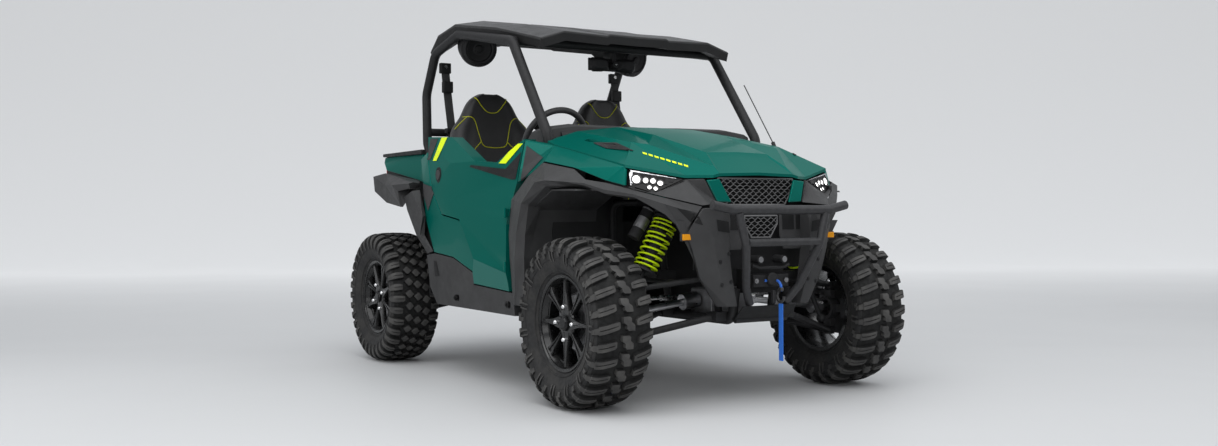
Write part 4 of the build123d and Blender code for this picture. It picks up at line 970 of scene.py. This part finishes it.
def make_seat(side):
    """A bucket seat: dished back with a narrow head, cushion with bolsters, and yellow piping."""
    middle = SEAT_MIDDLE * side
    rings = []
    for z, half, front, bolster, back in SEAT_BACK:
        rings.append([(middle + u * half, seat_front(u, front, bolster), z) for u in SHARES]
                     + [(middle + u * half, back - 16 * abs(u) ** 3, z)
                        for u in (0.97, 0.8, 0.4, 0, -0.4, -0.8, -0.97)])
    bm = bmesh.new()
    loft(bm, rings)
    tree = BVHTree.FromBMesh(bm)
    bmesh.ops.triangulate(bm, faces=[f for f in bm.faces if len(f.verts) > 4])
    back = build(f"seat_back_{side}", bm, "vinyl", angle=60, subsurf=1)

    seams = []
    for half in SEAT_PIPING:
        other = [(-x, z) for x, z in half]
        seams += [half, other] if half[-1][0] else [half + other[-2::-1]]
    pipes = []
    for seam in seams:
        spots = []
        for start in smooth_line([(middle + x, 0, z) for x, z in seam], 4):
            spot, normal, _, _ = tree.ray_cast(start, Vector((0, 1, 0)))
            if spot:
                spots.append(spot + normal * (0.6 if normal.y < 0 else -0.6))
        pipes.append((pipe, spots, 2.6, 8))
    make(f"seat_piping_{side}", "piping", pipes, angle=60)

    rings = []
    for y, half, top, bolster, low in SEAT_CUSHION:
        ring = []
        for u in SHARES:
            lift = seat_front(u, 0, 100) / 100
            ring.append((middle + u * half, y, top + (bolster - top) * min(1, lift) - max(0, lift - 1) * 60))
        rings.append(ring + [(middle + u * half, y, low) for u in (0.97, 0.5, 0, -0.5, -0.97)])
    cushion = make(f"seat_cushion_{side}", "vinyl", [(loft, rings)], angle=60, subsurf=1)
    return back, cushion


SEATS = [make_seat(side) for side in (-1, 1)]
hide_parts("seat_backs")
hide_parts("seat_cushions")


# ----- springs and dampers
SPRING_ENDS = [     # top eye, foot eye
    ((-285, -1098, 812), (-556, -1078, 309)), ((-290, 1085, 812), (-540, 1067, 310)),
]
SPLIT = 118         # where the two springs of a damper meet, down from the top eye
TURN_POINTS = 22    # of a turn of wire
END_TURNS = 0.035   # how much closer the turns lie at a spring's ends


def coil(bm, start, end, wire, turns, flip, radius=50):
    """A helix between two points, wound closer at its ends."""
    length = (end - start).length
    place = aimed((start + end) / 2, end - start)
    steps = int(turns * TURN_POINTS)
    points = []
    for k in range(steps + 1):
        t = k / steps
        angle = 2 * pi * turns * t * flip
        height = (t - END_TURNS * sin(2 * pi * t)) * length - length / 2
        points.append(place @ Vector((radius * cos(angle), radius * sin(angle), height)))
    pipe(bm, points, wire)


def along(start, end):
    """A function from a way in mm to the point that far from the start towards the end."""
    start, axis = Vector(start), (Vector(end) - Vector(start)).normalized()
    return lambda way: start + axis * way


coils, collars, sleeves = [], [], []
for top, foot in SPRING_ENDS:
    for sign in (1, -1):
        down = along((top[0] * sign, *top[1:]), (foot[0] * sign, *foot[1:]))
        coils += [(coil, down(67), down(SPLIT), 4.0, 3.0, sign),
                  (coil, down(SPLIT + 11), down(283), 4.4, 6.6, sign)]
        collars += [(rod, down(SPLIT + 2), down(SPLIT + 9), 55, 40), (rod, down(30), down(50), 30, 32),
                    (rod, down(48), down(53), 55, 40)]
for sign in (1, -1):
    down = along((-362 * sign, -1038, 806), (-437 * sign, -1032, 690))
    sleeves += [(rod, down(40), down(92), 27.8, 36), (rod, down(-3), down(4), 29, 36)]
make("coils", "lime", coils, stands_for="springs", angle=60)
make("spring_seats", "coated", collars, bevel=1.5)
make("reservoir_sleeves", "alloy", sleeves, bevel=1)


# ----- headlamps
LAMP_TREE = tree_of("headlamps")
LEDS = [    # place in the photograph, radius in mm
    (636.3, 179.2, 21), (645.6, 180.4, 14), (653.0, 181.0, 14), (660.2, 183.2, 14), (649.5, 187.4, 10.5),
    (655.6, 188.6, 10.5),
]
LAMP_EDGES = [
    [(629.3, 169.2), (685.5, 178.0), (684.5, 180.0), (632.5, 171.8)],
    [(629.3, 169.2), (632.5, 171.8), (632.6, 186.0), (630.3, 185.0)],
]
LAMP_END = [(665.5, 178.3), (683.0, 180.6), (672.0, 192.5), (663.2, 190.5)]
lights, bezels = [], []
for px, py, radius in LEDS:
    spot, way = sight(LAMP_TREE, px, py)
    place = aimed(spot, way)
    lights.append((rod, spot - way, spot + way * 2.2, radius * 0.82, 28, radius * 0.6))
    bezels.append((loft, [circle(radius * share, 32, height, place) for share, height in
                          ((0.82, 1.0), (0.98, 4.6), (1.06, 4.6), (1.1, -1.0))], False))
make("lamp_leds", "led", lights, both=True)
make("lamp_bezels", "iron", bezels, both=True)
make("lamp_edges", "reflector", [(patch, LAMP_TREE, corners, 1.5, 6) for corners in LAMP_EDGES], both=True)
make("lamp_inner_ends", "trim_dark", [(patch, LAMP_TREE, LAMP_END, 2.5, 4)], both=True)


# ----- grille
GRILLES = [     # name, node it stands for, depth of its front and outline: x, z
    ("upper", "grilles", -1304, [(-197, 936), (197, 936), (207, 911), (154, 826), (-154, 826), (-207, 911)]),
    ("lower", None, -1336, [(-86, 780), (86, 780), (86, 745), (50, 690), (-50, 690), (-86, 745)]),
]


COLUMNS, ROWS = 25, 12          # knots across and up a net
KNOT_WAY, KNOT_RISE = 17, 13    # mm from one to the next
SLAT_RISE = 10.5


def inside(point, outline):
    """Whether a point lies in a polygon."""
    x, z = point
    odd = False
    for (x0, z0), (x1, z1) in zip(outline, outline[1:] + outline[:1]):
        if (z0 > z) != (z1 > z) and x < (x1 - x0) * (z - z0) / (z1 - z0) + x0:
            odd = not odd
    return odd


def net_wires(outline, front):
    """Wires between the uneven knots of a net, clipped to its outline, and a rim."""
    spread = random.Random(5)
    low = min(z for _, z in outline)
    knots = {}

    def knot(i, j):
        if (i, j) not in knots:
            x = (i - COLUMNS // 2) * KNOT_WAY + spread.uniform(-3.5, 3.5)
            z = low + j * KNOT_RISE + (5 if (i + j) % 2 else -5) + spread.uniform(-2, 2)
            knots[i, j] = (x, z)
        return knots[i, j]

    def clipped(start, end):
        return next((q for q in (part_way(start, end, t) for t in (0, 0.25, 0.5, 0.75))
                     if inside(q, outline)), None)

    wires = []
    for i in range(COLUMNS):
        for j in range(-1, ROWS):
            a = knot(i, j)
            for b in [knot(i + 1, j)] + ([knot(i, j + 1)] if (i + j) % 2 else []):
                tips = [clipped(a, b), clipped(b, a)]
                if (inside(a, outline) or inside(b, outline)) and all(tips) and math.dist(*tips) > 2:
                    wires.append((rod, *((x, front, z) for x, z in tips), 1.7, 6))
    closed = [(x, front + 1, z) for x, z in outline]
    for a, b in zip(closed, closed[1:] + closed[:1]):
        wires += [(rod, a, b, 3.2, 8), (ball, a, 3.2, 8)]
    return wires


def slats(outline, front):
    """Level slats behind a net, as wide as its outline."""
    boxes = []
    wide = max(x for x, _ in outline)
    z = min(z for _, z in outline) + 5
    while z < max(z for _, z in outline) - 3:
        xs = [x for x in range(-wide, wide + 1, 2) if inside((x, z), outline)]
        if xs:
            boxes.append((box, (min(xs) + 3, front + 6, z - 2), (max(xs) - 3, front + 22, z + 2)))
        z += SLAT_RISE
    return boxes


for name, node, front, outline in GRILLES:
    make("grille_net_" + name, "net", net_wires(outline, front), stands_for=node)
    make("grille_slats_" + name, "black", slats(outline, front))
    back = [(x * 0.98, z) for x, z in outline]
    make("grille_back_" + name, "black", [(slab, 1, front + 24, front + 27, back)])


# ----- hood
HOOD_TREE = tree_of("hood")
SCOOP = [(594.0, 143.6), (616.5, 143.4), (633.0, 151.2), (606.0, 148.6)]     # side intake in the photograph
dashes = []
for k in range(8):
    x, y = 642.2 + 5.9 * k, 153.0 + 1.75 * k
    corners = [(x, y - 0.9), (x + 4.4, y + 0.4), (x + 4.9, y + 2.3), (x + 0.7, y + 1.0)]
    dashes.append((patch, HOOD_TREE, corners, 1.6, 3))
make("hood_dashes", "yellow", dashes)
wires = []
for k in range(12):
    a, b, c, d = SCOOP
    lines = [(part_way(a, b, k / 11), part_way(d, c, k / 11))]
    if k % 2 or k == 0:
        lines.append((part_way(a, d, k / 11), part_way(b, c, k / 11)))
    for line in lines:
        spots = [seen(HOOD_TREE, *q, 3.4) for q in line]
        if all(spots):
            wires.append((rod, *spots, 1.6, 6))
# painted shade: a black patch under each scoop's net stands for the shade inside the intake
make("scoop_shades", "black", [(patch, HOOD_TREE, SCOOP, 2.4, 16)], both=True)
make("scoop_nets", "trim", wires, both=True)


# ----- fascia and arches
FASCIA_TREE = tree_of("front_fascia", "front_fenders")
PANEL = [(94, 824), (232, 824), (246, 742), (236, 640), (112, 640), (94, 700)]      # x, z by the lower grille
WINDOWS = [[(x0, 722), (x1, 722), (x1, 806), (x0, 806)] for x0, x1 in ((110, 172), (184, 222))]
WING = [(-432, 759), (-375, 669), (-232, 419), (-180, 420), (-330, 690), (-350, 760)]   # x, z of a leg's edge
LINER = [(-606, 985), (-240, 985), (-240, 440), (-560, 440), (-606, 700)]
LINER_TOP = [(-604, -640, 968), (-240, -640, 968), (-240, -1120, 880), (-520, -1120, 880)]
# the fascia's hollows are drawn as flat black patches of painted shade
HOLLOWS = [     # corners in the photograph
    [(677, 208), (697.5, 213.0), (703.2, 225.2), (690, 221.5)],
    [(716.5, 219.5), (732.5, 222.5), (733.5, 233.5), (718, 231.0)],
]


def leaning(outline, front, thick):
    """The rings of a plate that leans with the fascia."""
    return [[(x, front + depth - (824 - z) * 0.04, z) for x, z in outline] for depth in (0, thick)]


make("fascia_inner_panels", "trim", [(loft, leaning(PANEL, -1338, 5))], both=True, bevel=2)
# painted shade: thin black plates on the inner panels stand for the shade in their recesses
make("fascia_inner_recess_shades", "black", [(loft, leaning(w, -1339.5, 3)) for w in WINDOWS], both=True)
make("fascia_wings", "trim", [(slab, 1, -1330, -1322, WING)], both=True, bevel=1.5)
make("arch_liners", "trim_dark", [
    (slab, 1, -646, -640, LINER),
    (loft, [[(x, y, z + h) for x, y, z in LINER_TOP] for h in (0, 5)])], both=True)
make("fender_seams", "trim", [      # what closes the seam between the hood's side and the flare
    (slab, 0, -585, -581, [(-504, 1036), (-890, 978), (-889, 920), (-503, 985)]),
    (slab, 0, -530, -526, [(-797, 982), (-1184, 912), (-1183, 870), (-796, 924)])], both=True)
make("radiator_shroud", "trim_dark", [
    (box, (-296, -1268, 560), (296, -1262, 922)), (box, (280, -1262, 794), (425, -1256, 862)),
    (box, (-425, -1262, 794), (-280, -1256, 862))])
# painted shade: black patches over the fascia's hollows
make("fascia_recess_shades", "black", [(patch, FASCIA_TREE, corners, 1.6, 8) for corners in HOLLOWS], both=True)
make("side_markers", "amber", [(box, (-400, -1341, 684), (-348, -1330, 708))], both=True, bevel=2)
make("marker_brackets", "trim", [(box, (-404, -1334, 680), (-330, -1322, 712))], both=True, bevel=2)
bolts = []
for spot, way in (sight(FASCIA_TREE, *q) for q in ((729, 254), (731, 282), (720.5, 262), (722, 285))):
    if spot:
        bolts.append((bolt, spot, way, 6, 5))
make("fascia_bolts", "coated", bolts, both=True, bevel=0.6)


# ----- cab equipment
def make_dash_top():
    """The top of the dashboard under the windscreen's foot."""
    section = ((-546, -70), (-540, -10), (-480, 0), (-385, -6), (-335, -42), (-345, -96))
    right = [(-566, 1176), (-540, 1190), (-430, 1205), (-180, 1204), (0, 1200)]
    line = right + [(-x, z) for x, z in right[-2::-1]]
    make("dash_top", "trim", [(loft, [[(x, y, z + rise) for y, rise in section] for x, z in line])], bevel=5)


def make_belts():
    """Each seat's belt: guide at the top of the pillar, webbing, adjuster, tongue and retractor."""
    webs, housings, tongues = [], [], []
    for x, sign in ((-528, 1), (528, -1)):
        line = [(x, 652, 1560), (x, 640, 1500), (x + 2 * sign, 616, 1380), (x + 6 * sign, 590, 1240),
                (x + 8 * sign, 576, 1120), (x + 4 * sign, 566, 1050)]
        webs.append((ribbon, smooth_line(line, 5), 46))
        for left, right, *yz in ((30, 30, 640, 1545, 668, 1600), (28, 28, 612, 1440, 640, 1500),
                                 (32, 34, 566, 1225, 600, 1250), (22, 36, 548, 1140, 596, 1166),
                                 (26, 34, 552, 1010, 612, 1096)):
            housings.append((box, (x - left, *yz[:2]), (x + right, *yz[2:])))
        tongues += [(rod, (x - 22, 548, z), (x + 34, 548, z), 3, 8) for z in (1126, 1108)]
        tongues += [(rod, (x + dx, 548, 1108), (x + dx, 548, 1142), 3, 8) for dx in (-22, 34)]
        tongues.append((rod, (x, 636, 1580), (x, 642, 1580), 9, 12))
    make("belt_webbing", "belt", webs, stands_for="seat_belts")
    make("belt_housings", "black", housings, bevel=4)
    make("belt_tongues", "zinc", tongues)


COLUMN_TOP, COLUMN_LEAN = (-356, -225, 1145), -62       # degrees from upright
RIM_RADIUS, GRIP_RADIUS = 158, 15


def make_steering_wheel():
    """Padded rim, thicker at the hands, hub pad and three spokes, on the column's axis."""
    place = Matrix.Translation(COLUMN_TOP) @ Matrix.Rotation(radians(COLUMN_LEAN), 4, "X")
    rings = []
    for t in around(72):
        grip = GRIP_RADIUS * (1 + 0.12 * max(0, 1 - abs(sin(t)) / 0.45))
        section = [(RIM_RADIUS + grip * cos(a), grip * sin(a)) for a in around(14)]
        rings.append([(reach * cos(t), reach * sin(t), height) for reach, height in section])
    make("steering_rim", "vinyl_panel", [(loft, rings + rings[:1], False), (weld,), (move, place)],
         "steering_wheel", stands_for="steering_wheel", angle=60)
    spokes = []
    for spin in (Matrix.Rotation(radians(angle), 4, "Z") for angle in (90, 210, 330)):
        spokes.append((loft, [[spin @ Vector((r, w * a, h + b * 5)) for a, b in SQUARE]
                              for r, w, h in ((30, 22, 4), (70, 17, 3), (110, 13, 0), (152, 16, 0))]))
    spokes += [(rod, (0, 0, -14), (0, 0, 16), 42, 28, 34), (rod, (0, 0, -95), (0, 0, -12), 14), (move, place)]
    make("steering_spokes", "black", spokes, "steering_wheel", bevel=3)


def make_mirror():
    """Two lobed housing on a clamp, with the glass towards the driver."""
    outer = [(24, 26), (60, 36), (118, 34), (130, 20), (130, -20), (112, -36), (60, -34), (24, -24)]
    face = [(44, 14), (70, 20), (108, 20), (114, 12), (114, -12), (104, -20), (70, -20), (44, -12)]
    forms = [(loft, [[(sign * x, y, 1530 + z) for x, z in outline]
                     for outline, y in ((outer, -168), (outer, -184), (face, -206))]) for sign in (-1, 1)]
    forms += [(rod, (0, -166, 1530), (0, -212, 1530), 22, 20, 17),
              (box, (-132, -170, 1500), (132, -160, 1562)), (box, (-12, -196, 1540), (12, -170, 1592))]
    make("mirror_housing", "trim_dark", forms, stands_for="mirror", bevel=3)
    make("mirror_glass", "screen", [(box, (-124, -160, 1507), (124, -158, 1555))], bevel=2)
    make("mirror_screw", "zinc", [(ball, (0, -213, 1530), 5, 12)])


def make_speakers():
    """Round pods under the roof's rear corners, each with a ring and a grille."""
    place = aimed((-478, 340, 1640), Vector((-0.25, -0.93, -0.28)))

    def circles(*profile):
        return [circle(r, 48, h, place) for r, h in profile]

    drum = circles((46, -200), (78, -180), (92, -120), (97, -40), (93, -8), (70, -4))
    make("speaker_drums", "trim_dark", [(loft, drum)], both=True, stands_for="speaker_pods", angle=40)
    ring = circles((64, -4), (66, 4), (73, 7), (80, 4), (83, -6))
    make("speaker_rings", "coated", [(loft, ring, False)], both=True, angle=40)
    bm = bmesh.new()
    bm.faces.new(loft(bm, circles((66, 0), (60, 3), (40, -2), (22, -6), (18, 3), (8, 5)), False)[-1])
    build("speaker_nets", mirrored(bm), "black", angle=40)


make_dash_top()
make_belts()
make_steering_wheel()
make_mirror()
make_speakers()


# ----- winch, hook and strap
plate, bolts = [], []
for sign in (1, -1):
    plate += [(rod, (78 * sign, -1394, 513), (78 * sign, -1404, 513), 15, 24),
              (rod, (62 * sign, -1350, 600), (62 * sign, -1412, 600), 17, 24)]
    bolts += [(bolt, (78 * sign, -1404, 513), (0, -1, 0), 7, 6),
              (rod, (62 * sign, -1412, 600), (62 * sign, -1414, 600), 12)]
plate += [(box, (-92, -1400, 488), (92, -1391, 538)),
          (pipe, [(-96, -1398, 578), (-60, -1402, 566), (60, -1402, 566), (96, -1398, 578)], 7)]
make("fairlead_plate", "coated", plate, bevel=2)
make("fairlead_bolts", "alloy", bolts, bevel=0.8)
make("winch_rope", "blue_rope", [
    (pipe, [(-34, -1401, 513), (-14, -1402, 513), (4, -1404, 513)], 5.5),
    (pipe, smooth_line([(18, -1400, 514), (18, -1424, 510), (18, -1440, 494), (18, -1441, 470)], 6), 5.5)])
HOOK = [(-1440, 478), (-1424, 470), (-1415, 452), (-1424, 432), (-1442, 427), (-1456, 436), (-1460, 448)]
make("hook_forging", "iron", [
    (pipe, smooth_line([(18, y, z) for y, z in HOOK], 6), 6.5, 12),
    (rod, (10, -1441, 478), (26, -1441, 478), 9, 16), (rod, (18, -1398, 512), (18, -1410, 510), 8, 14)],
     stands_for="winch_hook")
make("hook_stop", "trim_dark", [(rod, (-2, -1416, 520), (-2, -1392, 520), 26, 28),
                                (box, (-14, -1430, 420), (2, -1412, 474))], bevel=3)
STRAP_TOP, STRAP_LENGTH = Vector((18, -1440, 419)), 235
path = [STRAP_TOP - Vector((0, 0, STRAP_LENGTH * k / 20)) for k in range(21)]
strap = make("hook_strap", "blue_web", [(ribbon, path, 25, 3, (0, 1, 0))], stands_for="winch_strap")
